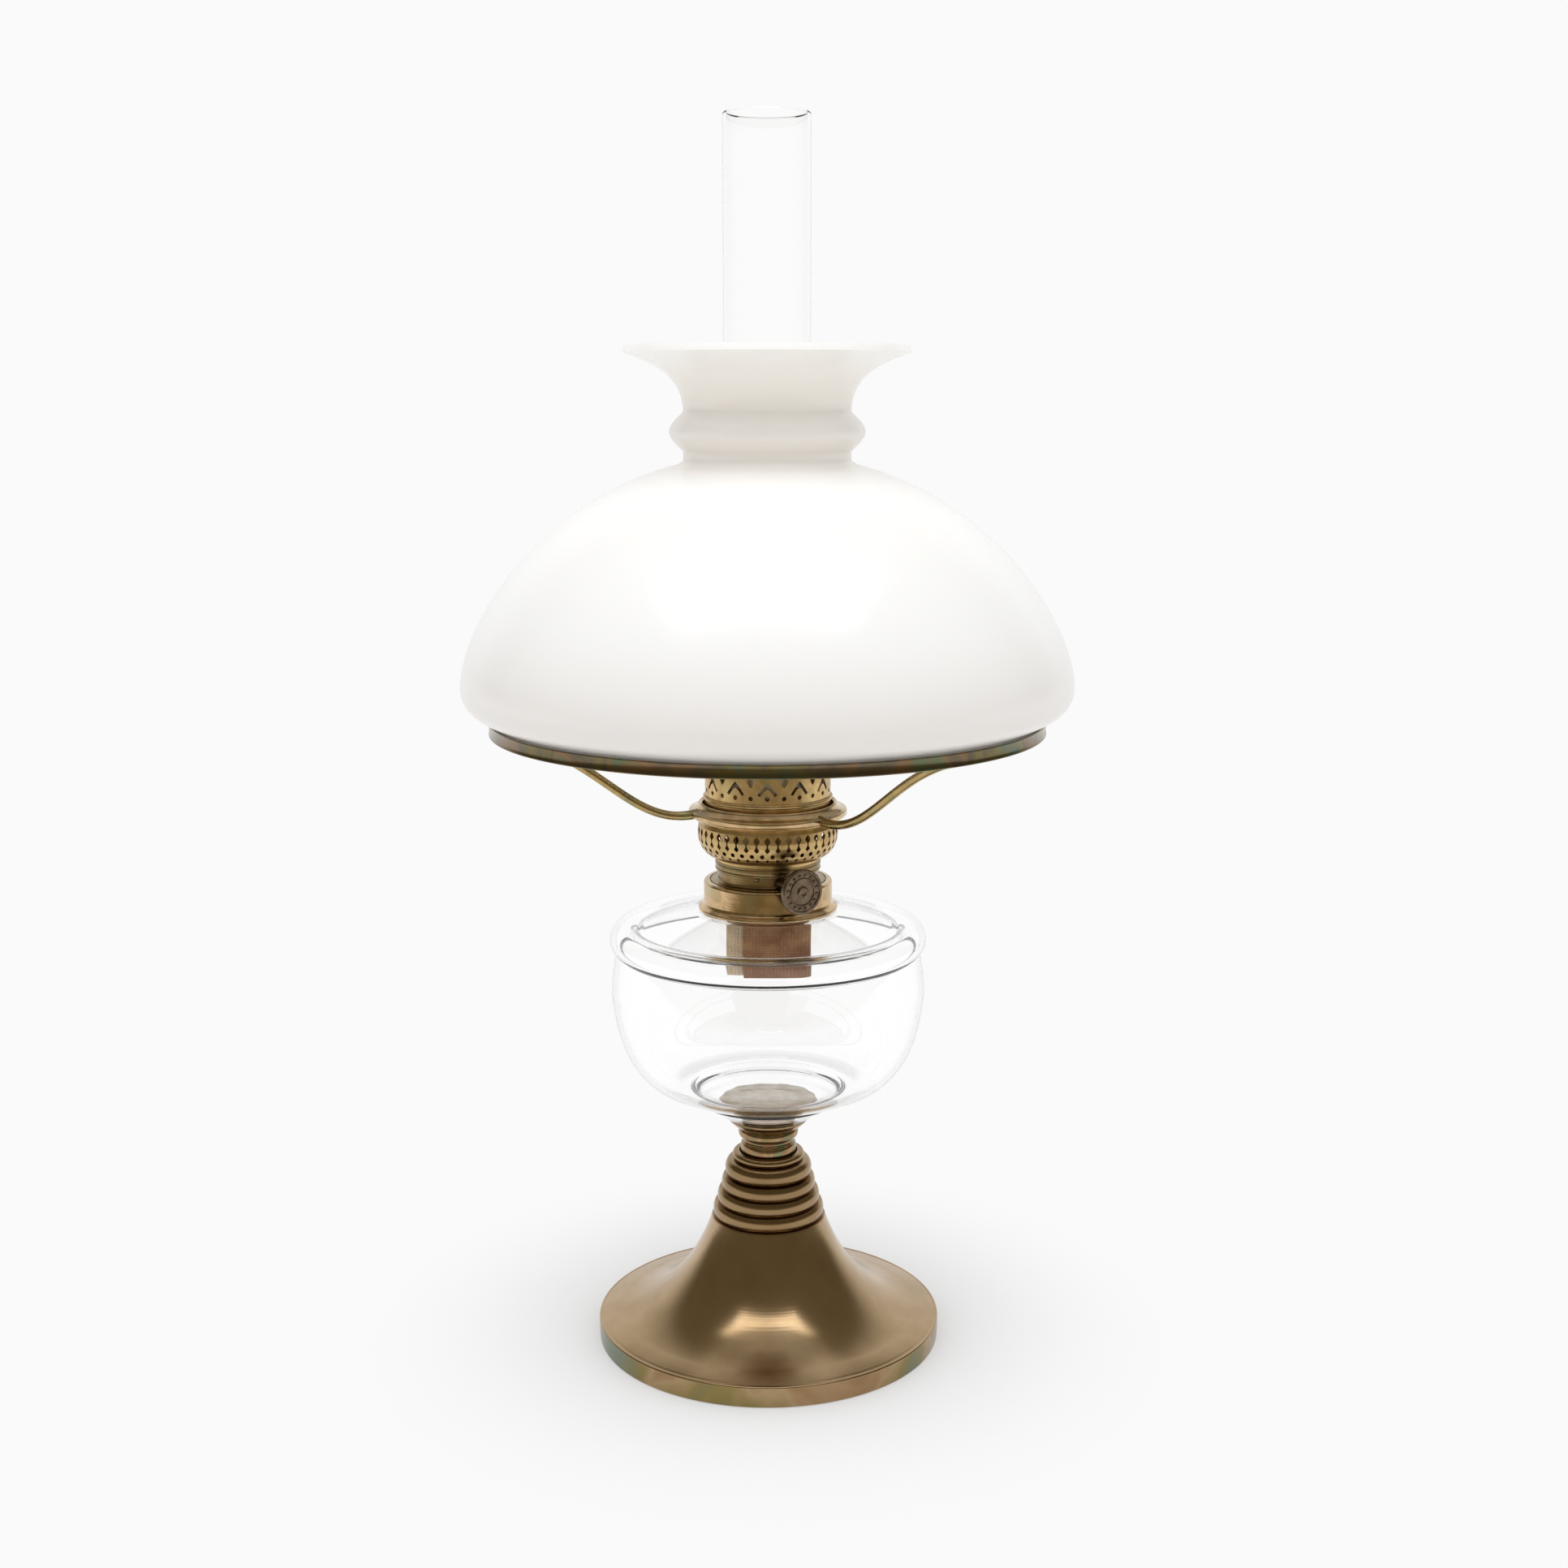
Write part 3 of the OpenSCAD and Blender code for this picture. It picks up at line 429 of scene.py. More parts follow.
crown = bead(CROWN_R, broad_z + BROAD_H, crown_top - broad_z - BROAD_H, 1.5)
outside = rim + rolled + groove + trumpet + ring_stack + broad + crown
inside = [(STEM_BORE, crown_top), (STEM_BORE, broad_z), (RING_BORE, TRUMPET_Z)]
inside += reversed(inset(trumpet, SHEET))
inside += [(foot_r - SHEET, RIM_H - SHEET), (foot_r - SHEET, FOOT_GAP)]
fit(spun("foot", outside + inside, crease=50), "stand", spun_brass, "spun_brass", "foot_shell")

# %% [markdown]
# The spool between foot and font is turned from solid brass: a lower ring, a waist, a bead, and a cup
# that carries the glass. It is a separate piece on the real lamp, held by a rod through the stem.

# %% Stem spool
spool_z, cup_top = foot_of("stem_spool"), top_of("stem_spool")
spool_r, bead_r, cup_r, waist_dip = 12.5, 13.4, radius("stem_spool"), 9.9
waist_z, bead_z, cup_z = spool_z + 6.6, spool_z + 9.5, spool_z + 13.4
ROD_BORE, CUP_WALL, CUP_DIP, CUP_DEEP = 3.1, 1.2, 3.6, 2
spool_line = [(ROD_BORE, spool_z)] + bead(spool_r, spool_z, waist_z - spool_z, 0.8)
spool_line += sweep([(spool_r - 0.8, waist_z), (waist_dip, (waist_z + bead_z) / 2),
                     (bead_r - 0.9, bead_z)], 16)
spool_line += bead(bead_r, bead_z, cup_z - bead_z, 0.9)
spool_line += sweep([(bead_r - 0.7, cup_z + 0.2), (cup_r - 2.2, cup_z + 1.4), (cup_r, cup_top - 0.6)], 12)
spool_line += [(cup_r, cup_top), (cup_r - CUP_WALL, cup_top)]
spool_line += [(cup_r - CUP_DIP, cup_top - CUP_DEEP), (ROD_BORE, cup_top - CUP_DEEP)]
fit(spun("stem_spool_turned", spool_line), "stand", spool_brass, "turned_brass", "stem_spool")

# %% [markdown]
# The font is pressed glass, and it has to be a real closed body: an outer skin, an inner skin one wall
# further in, and a solid boss that stands in the spool's cup. The drawn-in band ends in a crease under
# the shoulder ring, and that crease is what draws the dark line round the bowl. At the bottom the bowl
# narrows to a shallow dish.

# %% Glass font
font_r = 68.7
glass_low, neck_z = foot_of("font"), foot_of("collar") + 1
base_r, base_z, belly_z = 32.6, cup_top + 12.3, cup_top + 58.7
band_z, WALL, SHOULDER, WRAP = belly_z + 19.5, 2, 7, 40
shoulder_z = band_z + SHOULDER * math.sin(math.radians(WRAP))
glass_neck_r, glass_top, NECK_WALL = 26.35, top_of("font"), 1.6
PLATE_MID, PLATE_IN = 45, 31
# The outer skin, from the base to the neck.
bowl = sweep([(base_r + 0.4, base_z + 0.9), (font_r - 3.2, base_z + 1.2), (font_r, belly_z)], 48)
band = sweep([(font_r, belly_z), (font_r - 0.2, belly_z + 9), (font_r - 2.3, band_z - 1)], 12)[1:]
shoulder = arc((font_r + 0.5 - SHOULDER, shoulder_z), SHOULDER, -WRAP, 180 - WRAP, 40)
plate = sweep([shoulder[-1] + Vector((-1.5, 0.1)), (PLATE_MID, neck_z - 4), (PLATE_IN, neck_z)], 16)
skin = [p for p in bowl if p.x > base_r + 4.5] + band + shoulder + plate

# The boss in the cup, and the inner skin with its dished floor.
BOSS_R, DISH_R, FLOOR_FLAT, dish_z = 15.5, 46, 12, cup_top + 2
boss = [(0, glass_low), (BOSS_R, glass_low), (BOSS_R + 0.1, cup_top), (BOSS_R + 2.7, cup_top)]
boss += [(base_r - 1.4, base_z - 3.4)] + arc((base_r - 0.8, base_z - 2.6), 0.8, -45, 0, 5)
boss += sweep([(base_r, base_z - 2), (base_r + 0.1, base_z + 0.8), (base_r + 4, base_z + 1)], 10)
lining = [p for p in inset(skin, WALL) if p.x > DISH_R or p.y > belly_z]
dish = sweep([(FLOOR_FLAT, dish_z), (19, cup_top + 2.1), (base_r - 2, base_z - 0.7)], 16)
dish.append(Vector((base_r + 0.2, base_z + 1.6)))
dish += sweep([(base_r + 0.8, base_z + 1.65), (base_r + 6, base_z + 1.8), lining[0]], 12)
lining = list(reversed([Vector((0, dish_z))] + dish[:-1] + lining))
mouth = [(glass_neck_r, neck_z), (glass_neck_r, glass_top)]
mouth += [(glass_neck_r - NECK_WALL, glass_top), (glass_neck_r - NECK_WALL, neck_z - WALL)]
font_line = boss + skin + mouth + lining
fit(spun("font_pressed", font_line, steps=256, crease=30), "stand", font_glass, "clear_glass", "font")

# %% [markdown]
# The last oil has dried in the dish to a pale film with a ragged edge. Two sine waves that do not share a
# beat are enough to make the edge uneven, and they come out the same every time.

# %% Dried oil
FILM_R, FILM_Z, FILM_T = 22.6, cup_top + 6.2, 0.2
film_line = [(0, FILM_Z), (FILM_R, FILM_Z), (FILM_R, FILM_Z + FILM_T), (0, FILM_Z + FILM_T)]
film = spun("dried_oil", film_line, steps=96)
for vertex in film.data.vertices:
    a = math.atan2(vertex.co.y, vertex.co.x)
    ragged = 1 - 0.02 * (1 + math.sin(5 * a)) - 0.015 * (1 + math.sin(13 * a + 1))
    vertex.co.xy *= ragged
fit(film, "stand", dried_oil, None)

# %% [markdown]
# The collar is cemented on the glass neck. Its foot flares out to a thin rim and its top edge is rounded
# over, with a shallow recess where the burner's flange sits.

# %% Collar
collar_r, collar_top = 28.0, top_of("collar")
collar_foot = radius("collar")
COLLAR_ROUND, RECESS_R, RECESS, COLLAR_WALL = 1.2, 25.5, 1.7, 0.9
COLLAR_BORE, COLLAR_SLEEVE = 22.6, 23.5
recess_z = collar_top - RECESS
under_z, collar_in = recess_z - COLLAR_WALL, collar_r - COLLAR_WALL
collar_line = [(collar_foot - 0.4, neck_z)] + arc((collar_foot - 0.8, neck_z + 0.8), 0.8, -60, 70, 8)
collar_line += sweep([(collar_foot - 0.9, neck_z + 1.8), (collar_r + 0.2, neck_z + 2.2),
                      (collar_r, neck_z + 3.8)], 8)
collar_line += arc((collar_r - COLLAR_ROUND, collar_top - COLLAR_ROUND), COLLAR_ROUND, 0, 90, 8)
collar_line += [(RECESS_R, collar_top), (RECESS_R, recess_z), (COLLAR_BORE, recess_z)]
collar_line += [(COLLAR_BORE, neck_z - 1), (COLLAR_SLEEVE, neck_z - 1), (COLLAR_SLEEVE, under_z)]
collar_line += [(collar_in, under_z), (collar_in, neck_z)]
fit(spun("collar_turned", collar_line), "stand", turned_brass, "turned_brass", "collar")

# %% [markdown]
# The burner's visible part is a flange and a short neck of sheet brass, with a threaded sleeve below that
# screws into the collar. It is turned like the pieces before it.

# %% Burner flange and neck
flange_r, burner_neck_r, burner_top = radius("burner_base"), 21.8, top_of("burner_base")
THREAD_L, FLANGE_T, THREAD_IN, THREAD_OUT, TUBE_HOLE, NECK_SHEET = 9, 0.9, 20.8, 22.2, 14, 0.6
thread_low = foot_of("burner_base")
flange_z = thread_low + THREAD_L
flange_top = flange_z + FLANGE_T
neck_in = burner_neck_r - NECK_SHEET
burner_line = [(TUBE_HOLE, flange_z), (THREAD_IN, flange_z), (THREAD_IN, thread_low)]
burner_line += [(THREAD_OUT, thread_low), (THREAD_OUT, flange_z)]
burner_line += [(flange_r - 0.1, flange_z)] + arc((flange_r - 0.4, flange_top - 0.4), 0.4, 0, 90, 5)
burner_line += sweep([(burner_neck_r + 1.2, flange_top), (burner_neck_r, flange_top),
                      (burner_neck_r, flange_top + 1.2)], 6)
burner_line += [(burner_neck_r, burner_top), (neck_in, burner_top), (neck_in, flange_top)]
burner_line += [(TUBE_HOLE, flange_top)]
burner_neck = spun("burner_neck", burner_line)
print("burner neck", round(burner_top - flange_top, 1), "mm high above its flange")


# %% [markdown]
# The shaft of the wick knob leaves through the neck to the front right, and a star wheel on it turns in a
# slot of the flange. Both openings are cut with the Boolean modifier, and its result is kept as the mesh.
# The shaft's line comes from the joint that turns it, so the openings stay true to the motion.

# %% Openings for the shaft and the star wheel
turn_joint = next(j for j in frame["joints"] if j["name"] == "knob_turn")
shaft_axis, shaft_point = Vector(turn_joint["axis"]), Vector(turn_joint["pos_m"])
SHAFT_R, BORE_GAP, BORE_L = 1.5, 0.06, 30
STAR_R, STAR_T, STAR_GAP, SLOT_L = 3.4, 1.5, 0.3, 8


def cut_opening(piece, make_tool, size, start, length):
    """Takes a tool shape along the knob's shaft out of a piece, from start on and one length outwards."""
    shape = bmesh.new()
    make_tool(shape)
    lie = shaft_axis.to_track_quat("Z", "Y").to_matrix().to_4x4()
    middle = Matrix.Translation(start + shaft_axis * length / 2 * MM)
    shape.transform(middle @ lie @ Matrix.Diagonal((size * MM, size * MM, length * MM, 1)))
    tool = bpy.data.objects.new("tool", bpy.data.meshes.new("tool"))
    shape.to_mesh(tool.data)
    shape.free()
    bpy.context.scene.collection.objects.link(tool)
    cut = piece.modifiers.new("opening", "BOOLEAN")
    cut.object, cut.solver = tool, "EXACT"
    finished = bpy.data.meshes.new_from_object(piece.evaluated_get(bpy.context.evaluated_depsgraph_get()))
    piece.modifiers.clear()
    piece.data = finished
    bpy.data.objects.remove(tool)
    finished.shade_smooth()
    finished.set_sharp_from_angle(angle=math.radians(35))


def block(shape):
    bmesh.ops.create_cube(shape, size=1)


def rod(shape):
    bmesh.ops.create_cone(shape, cap_ends=True, segments=48, radius1=1, radius2=1, depth=1)


star_low, star_high = (Vector(corner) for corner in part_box("star_wheel"))
star_place = (star_low + star_high) / 2
slot_start = star_place + shaft_axis * (STAR_T / 2 + STAR_GAP - SLOT_L) * MM
cut_opening(burner_neck, block, 2 * (STAR_R + STAR_GAP), slot_start, SLOT_L)
cut_opening(burner_neck, rod, SHAFT_R + BORE_GAP, star_place, BORE_L)
fit(burner_neck, "burner", dull_brass, "pressed_brass", "burner_base")

# %% [markdown]
# One small rivet shows on the neck. It is a low dome pressed through the sheet, so it is made of a few
# turned rings that are stood up and laid on the neck.

# %% Rivet
RIVET_R, RIVET_OUT, RIVET_UP, RIVET_TURN = 1.1, 0.55, 4, -12
rivet_line = sweep([(0, RIVET_OUT), (RIVET_R - 0.2, RIVET_OUT), (RIVET_R, -0.1)], 8) + [(0, -0.1)]
rivet = spun("burner_rivet", rivet_line, steps=24)
turn_left = Matrix.Rotation(math.radians(RIVET_TURN), 4, "Z")
to_neck = Matrix.Translation((0, -burner_neck_r * MM, (flange_top + RIVET_UP) * MM))
rivet.data.transform(turn_left @ to_neck @ Matrix.Rotation(math.radians(90), 4, "X"))
fit(rivet, "burner", dull_brass, "pressed_brass")

# %% [markdown]
# The pierced basket and gallery are shown as the solids themselves. Only the basket's skirt, which slips
# over the burner's neck, gets a thin band of the darker sheet brass with two rolled lines.

# %% Basket skirt
skirt_z, SKIRT_R, SKIRT_H, SKIRT_T = foot_of("basket"), burner_neck_r + 0.7, 4.0, 0.25
skirt_out = SKIRT_R + SKIRT_T
skirt_line = [(SKIRT_R, skirt_z)] + bead(SKIRT_R + 0.5, skirt_z, 1.1, 0.3, 8)
skirt_line += [(skirt_out, skirt_z + 1.3), (skirt_out, skirt_z + 2.2)]
skirt_line += bead(SKIRT_R + 0.55, skirt_z + 2.3, 1.0, 0.3, 8)
skirt_line += [(skirt_out, skirt_z + 3.4), (skirt_out, skirt_z + SKIRT_H), (SKIRT_R, skirt_z + SKIRT_H)]
fit(spun("basket_skirt", skirt_line), "gallery", dull_brass, "pressed_brass")

# %% [markdown]
# The chimney is drawn tube, thin and clear, with a wider base and a shoulder just above the flame. As
# with the font, it is a closed body with two skins, or it would bend light like a solid rod.

# %% Chimney
chimney_z, chimney_top, chimney_base_r = foot_of("chimney"), top_of("chimney"), radius("chimney")
TUBE_R, WAIST, DRAW, TUBE_WALL = 18.25, 54, 10, 1.5
waist_top = chimney_z + WAIST
chimney_side = [(chimney_base_r, chimney_z), (chimney_base_r, waist_top - DRAW)]
chimney_side += sweep([(chimney_base_r, waist_top - 0.7 * DRAW), (chimney_base_r, waist_top),
                       (TUBE_R, waist_top), (TUBE_R, waist_top + DRAW)], 24)
chimney_side += [(TUBE_R, chimney_top - 0.5), (TUBE_R - 0.4, chimney_top)]
chimney_inside = inset(chimney_side[:-1] + [(TUBE_R, chimney_top)], TUBE_WALL)
chimney_line = chimney_side + list(reversed(chimney_inside))
fit(spun("chimney_tube", chimney_line, steps=160), "chimney", chimney_glass, "clear_glass", "chimney")

# %% [markdown]
# The shade holder is a turned hub, three bent wires and a ring. The hub rests on the gallery, and its
# profile is a small bead, a wide moulding and a hollow slope up to a round edge.

# %% Holder hub
hub_z, hub_top, hub_r = foot_of("holder_hub"), top_of("holder_hub"), radius("holder_hub")
hub_in = 28.45
hub_line = [(hub_in, hub_z), (hub_r - 2.6, hub_z)] + bead(hub_r - 1.9, hub_z + 0.1, 1.0, 0.6, 8)
hub_line += sweep([(hub_r - 1.4, hub_z + 1.1), (hub_r - 0.3, hub_z + 1.2), (hub_r, hub_z + 1.8)], 6)
hub_line += arc((hub_r - 0.7, hub_z + 3.2), 0.7, 0, 100, 8)
hub_line += sweep([(hub_r - 1.4, hub_z + 4), (hub_in + 3, hub_z + 4.4), (hub_in + 2.2, hub_top - 1.6)], 10)
hub_line += arc((hub_in + 0.9, hub_top - 0.9), 0.9, 0, 120, 8) + [(hub_in, hub_top - 0.6)]
fit(spun("holder_hub_turned", hub_line), "holder", turned_brass, "turned_brass", "holder_hub")

# %% [markdown]
# The ring is a band with rolled edges and an inner ledge for the glass. Heat and smoke reach it and no
# cloth does, so it is the darkest brass on the lamp.

# %% Holder ring
ring_z, ring_top, ring_r = foot_of("holder_ring"), top_of("holder_ring"), radius("holder_ring")
BAND, LEDGE_R, LEDGE_UP, EDGE = 0.9, ring_r - 7, 2.6, 0.45
ledge_z, band_out, band_in = ring_z + LEDGE_UP, ring_r - 0.25, ring_r - BAND
ring_line = arc((ring_r - EDGE, ring_z + EDGE), EDGE, -180, 0, 8)
ring_line += [(band_out, ring_z + 1), (band_out, ring_top - 1)]
ring_line += arc((ring_r - EDGE, ring_top - EDGE), EDGE, 0, 180, 8)
ring_line += [(band_in, ledge_z + BAND), (LEDGE_R, ledge_z + BAND), (LEDGE_R, ledge_z), (band_in, ledge_z)]
fit(spun("holder_ring_band", ring_line, steps=320), "holder", dark_brass, "dark_brass", "holder_ring")

# %% [markdown]
# Each arm is a drawn wire, bent in one plane: level out of the hub, then up in a long curve to the ring.
# It is swept as a tube with a ring of vertices square to the line at each step, and it grows a little at
# both ends, where the real wire is flattened and soldered.

# %% Arms
ARM_R, ARM_STEPS, ARM_SIDES, ARM_TURN = 1.9, 48, 20, 44.5
arm_end = Vector((LEDGE_R, ledge_z - ARM_R - 0.2))
arm_line = sweep([(hub_in + 2.4, hub_z + 2.8), (hub_r + 25.7, hub_z - 3.3),
                  (LEDGE_R - 40, arm_end.y - 8.8), arm_end], ARM_STEPS)
arm_line.append(Vector((band_in - 0.3, ledge_z - ARM_R * 0.7)))


def bent_arm(name, degrees_right_of_front):
    shape = bmesh.new()
    rings = []
    for i, p in enumerate(arm_line):
        before, after = arm_line[max(i - 1, 0)], arm_line[min(i + 1, len(arm_line) - 1)]
        along = (after - before).normalized()
        # The wire is thicker where it leaves the hub, and wide and flat where it meets the ring.
        root = max(0, 1 - i / 6)
        tip = max(0, (i - ARM_STEPS + 3) / 4)
        wide, high = ARM_R * (1 + 0.35 * root + 0.5 * tip), ARM_R * (1 + 0.15 * root - 0.3 * tip)
        ring = []
        for k in range(ARM_SIDES):
            a = 2 * math.pi * k / ARM_SIDES
            up, sideways = high * math.sin(a), wide * math.cos(a)
            spot = ((p.x - along.y * up) * MM, sideways * MM, (p.y + along.x * up) * MM)
            ring.append(shape.verts.new(spot))
        rings.append(ring)
    for low, high in zip(rings, rings[1:]):
        for k in range(ARM_SIDES):
            n = (k + 1) % ARM_SIDES
            shape.faces.new((low[k], low[n], high[n], high[k]))
    shape.faces.new(rings[0])
    shape.faces.new(rings[-1])
    bmesh.ops.recalc_face_normals(shape, faces=shape.faces)
    mesh = bpy.data.meshes.new(name)
    shape.to_mesh(mesh)
    shape.free()
    mesh.transform(Matrix.Rotation(math.radians(degrees_right_of_front - 90), 4, "Z"))
    mesh.shade_smooth()
    mesh.set_sharp_from_angle(angle=math.radians(40))
    arm = bpy.data.objects.new(name, mesh)
    bpy.context.scene.collection.objects.link(arm)
    return arm


for side, extra in (("right", 0), ("left", -120), ("back", 120)):
    arm = bent_arm("arm_" + side, ARM_TURN + extra)
    fit(arm, "holder", drawn_brass, "drawn_brass", "holder_arm_" + side)

# %% [markdown]
# The shade is blown and pressed milk glass: a short fitter that stands in the ring, a wide dome, a neck
# with one hollow bead, and a flared lip. Its wall is the same all over, so the inner skin is the outer
# line moved in by one wall. The bead is a raised cosine, flattened by a power below one so that it looks
# full and not pointed.

# %% Shade
shade_z, shade_r, shade_lip_z = foot_of("shade"), radius("shade"), top_of("shade")
fitter_r, fitter_top, GLASS = band_in - 1, ring_top + 0.3, 3
brim_z, DOME_H, neck_r = shade_z + 15.2, 94, 35.3
neck_low = brim_z + DOME_H
bead_low, bead_high, BEAD_OUT = neck_low + 6, neck_low + 20, 5.9
BEAD_BLEND, BEAD_STEPS, BEAD_FULL = 1.2, 32, 0.55
LIP_R, FLARE = 60.3, 22.5
dome = sweep([(shade_r, brim_z + 0.5), (shade_r, brim_z + 0.28 * DOME_H),
              (neck_r + 0.64 * (shade_r - neck_r), brim_z + 0.84 * DOME_H),
              (neck_r + 2.6, neck_low - 0.6)], 64)
shade_line = [(fitter_r, shade_z), (fitter_r, fitter_top)]
shade_line += sweep([(fitter_r + 1, fitter_top + 0.8), (shade_r - 1, fitter_top + 4),
                     (shade_r, brim_z)], 24)
shade_line += dome
shade_line += sweep([(neck_r + 1.2, neck_low + 0.2), (neck_r, neck_low + 0.6), (neck_r, neck_low + 2)], 6)
for i in range(BEAD_STEPS + 1):
    swell = (0.5 - 0.5 * math.cos(2 * math.pi * i / BEAD_STEPS)) ** BEAD_FULL
    rise = (bead_high - bead_low + 2 * BEAD_BLEND) * i / BEAD_STEPS
    shade_line.append(Vector((neck_r + BEAD_OUT * swell, bead_low - BEAD_BLEND + rise)))
shade_line += sweep([(neck_r, bead_high + 2.5), (neck_r + 0.8, bead_high + 0.75 * FLARE),
                     (LIP_R - 12, bead_high + 0.95 * FLARE), (LIP_R, bead_high + FLARE + 3)], 32)
# Painted light by height: painted shade at the foot, a painted warm glow at the neck and flare, less on the
# bead.
opal = milk_glass("pressed_milk_glass", shade_z, shade_lip_z, [
    (0.0, "#f0ebe6"), (0.1, "#f4f0ec"), (0.3, "#f8f7f5"), (0.66, "#f9f8f5"), (0.72, "#fbf4ec"),
    (0.77, "#f3eee8"), (0.81, "#f3eee8"), (0.87, "#faf3ea"), (0.95, "#fcf8f2"), (1.0, "#fdfcf9")])
shade_outline = shade_line + list(reversed(inset(shade_line, GLASS)))
fit(spun("shade_dome", shade_outline, steps=320, crease=60), "shade", opal, "opal_glass", "shade")

# %% [markdown]
# The knob sits on the level shaft, so it is turned like the other pieces and then laid on the shaft's own
# line. The stamped ring is filled with plain beads.

# %% Wick knob
KNOB_REACH, KNOB_T, KNOB_R, RELIEF, HUB_OUT = 40, 2.4, 9.8, 0.5, 1.4
KNOB_RIM, KNOB_EYE, knob_low = KNOB_R - 1.3, KNOB_R * 0.55, KNOB_T - RELIEF
KNOB_BEADS, KNOB_BEAD_R, KNOB_BEAD_FLAT = 16, 0.75, 0.7
knob_hub = SHAFT_R + HUB_OUT
knob_line = [(SHAFT_R, -2), (knob_hub, -2), (knob_hub, 0), (KNOB_R - 0.4, 0)]
knob_line += arc((KNOB_R - 0.5, 0.5), 0.5, -90, 0, 5) + arc((KNOB_R - 0.6, KNOB_T - 0.6), 0.6, 0, 90, 6)
knob_line += [(KNOB_RIM, KNOB_T), (KNOB_RIM - 0.3, knob_low), (KNOB_EYE + 0.9, knob_low)]
knob_line += arc((KNOB_EYE + 0.4, knob_low), 0.45, 0, 180, 8) + [(knob_hub, knob_low)]
knob_line += arc((SHAFT_R + 0.4, knob_low), 0.7, 0, 120, 6)
knob_line += [(0, knob_low + 0.3), (0, knob_low - 0.6), (SHAFT_R, knob_low - 0.6)]
knob = spun("knob_stamped", knob_line, steps=96)
shape = bmesh.new()
shape.from_mesh(knob.data)
bead_circle = (KNOB_RIM + KNOB_EYE) / 2 + 0.25
for i in range(KNOB_BEADS):
    a = 2 * math.pi * i / KNOB_BEADS
    spot = (bead_circle * MM * math.cos(a), bead_circle * MM * math.sin(a), knob_low * MM)
    place = Matrix.Translation(spot) @ Matrix.Diagonal((1, 1, KNOB_BEAD_FLAT, 1))
    bmesh.ops.create_uvsphere(shape, u_segments=12, v_segments=8, radius=KNOB_BEAD_R * MM, matrix=place)
shape.to_mesh(knob.data)
shape.free()
knob.data.shade_smooth()
knob.data.set_sharp_from_angle(angle=math.radians(40))
out_of_burner = Vector((0, 0, 1)).rotation_difference(shaft_axis).to_matrix().to_4x4()
to_shaft_end = Matrix.Translation(shaft_point + shaft_axis * (KNOB_REACH - KNOB_T) * MM)
knob.data.transform(to_shaft_end @ out_of_burner)
fit(knob, "wick_drive", stamped_brass, "dark_brass", "wick_knob")

# %% [markdown]
# The wick is a flat woven band. Its upper part is rolled round the inner tube, and below the burner it
# opens into a flat fold that hangs in the oil. A cloth simulation would have to be forced into that
# shape, so the band is drawn as what it is: a strip whose cross-section goes from a circle to a flat loop
# of the same length.

# %% The line of the wick
wick_low, wick_top = foot_of("wick"), top_of("wick")
tube_low = foot_of("outer_wick_tube")
WICK_W, WICK_T, SOLID_T, TAIL_W, TAIL_D, FRONT_SHARE = 70, 2.0, 2.2, 38, 11, 0.447
ROLL_R, BEND_TOP, BEND_H, HANG = 12.05, tube_low - 6.5, 11, 40
FOLD_R = (TAIL_D - SOLID_T) / 2
FOLD_L, FOLD_X = FOLD_R * math.pi / 2, (TAIL_W - TAIL_D) / 2


def rolled_point(s):
    return Vector((ROLL_R * math.cos(s / ROLL_R), ROLL_R * math.sin(s / ROLL_R)))


def folded_point(s):
    if abs(s) < FOLD_L:
        return Vector((FOLD_X + FOLD_R * math.cos(s / FOLD_R), FOLD_R * math.sin(s / FOLD_R)))
    return Vector((FOLD_X + FOLD_L - abs(s), math.copysign(FOLD_R, s)))


def wick_point(s, z):
    """Where the point s across the strip lies at height z; the hanging part is a little wavy."""
    share = min(1, max(0, (BEND_TOP - z) / BEND_H))
    share = share * share * (3 - 2 * share)
    p = rolled_point(s).lerp(folded_point(s), share)
    hang = share * max(0, BEND_TOP - z) / HANG
    p.y += 0.35 * hang * math.sin(s / 5 + z / 9)
    p.x += 0.3 * hang * math.sin(z / 6)
    return Vector((p.x, p.y, z))


print("wick strip", WICK_W, "by", round(wick_top - wick_low, 1), "mm")

# %% [markdown]
# The strip is a grid of faces. Each point keeps its place across and along the strip as its UV, in real
# size, so the weave can be drawn in millimetres. A Solidify modifier gives the band its thickness.

# %% Wick
ACROSS, ALONG = 120, 90
wick_mesh = bpy.data.meshes.new("wick_band")
shape = bmesh.new()
uv = shape.loops.layers.uv.new("UVMap")
spans = [WICK_W * (i / ACROSS - FRONT_SHARE) for i in range(ACROSS + 1)]
heights = [wick_low + (wick_top - wick_low) * i / ALONG for i in range(ALONG + 1)]
grid = [[shape.verts.new(wick_point(s, z) * MM) for s in spans] for z in heights]
for j in range(ALONG):
    for i in range(ACROSS):
        corners = ((i, j), (i + 1, j), (i + 1, j + 1), (i, j + 1))
        face = shape.faces.new([grid[b][a] for a, b in corners])
        for loop, (a, b) in zip(face.loops, corners):
            loop[uv].uv = (spans[a] * MM, heights[b] * MM)
shape.to_mesh(wick_mesh)
shape.free()
wick_mesh.shade_smooth()
wick_band = bpy.data.objects.new("wick_band", wick_mesh)
bpy.context.scene.collection.objects.link(wick_band)
thick = wick_band.modifiers.new("thickness", "SOLIDIFY")
thick.thickness, thick.offset = WICK_T * MM, 0
print("wick faces:", len(wick_mesh.polygons))
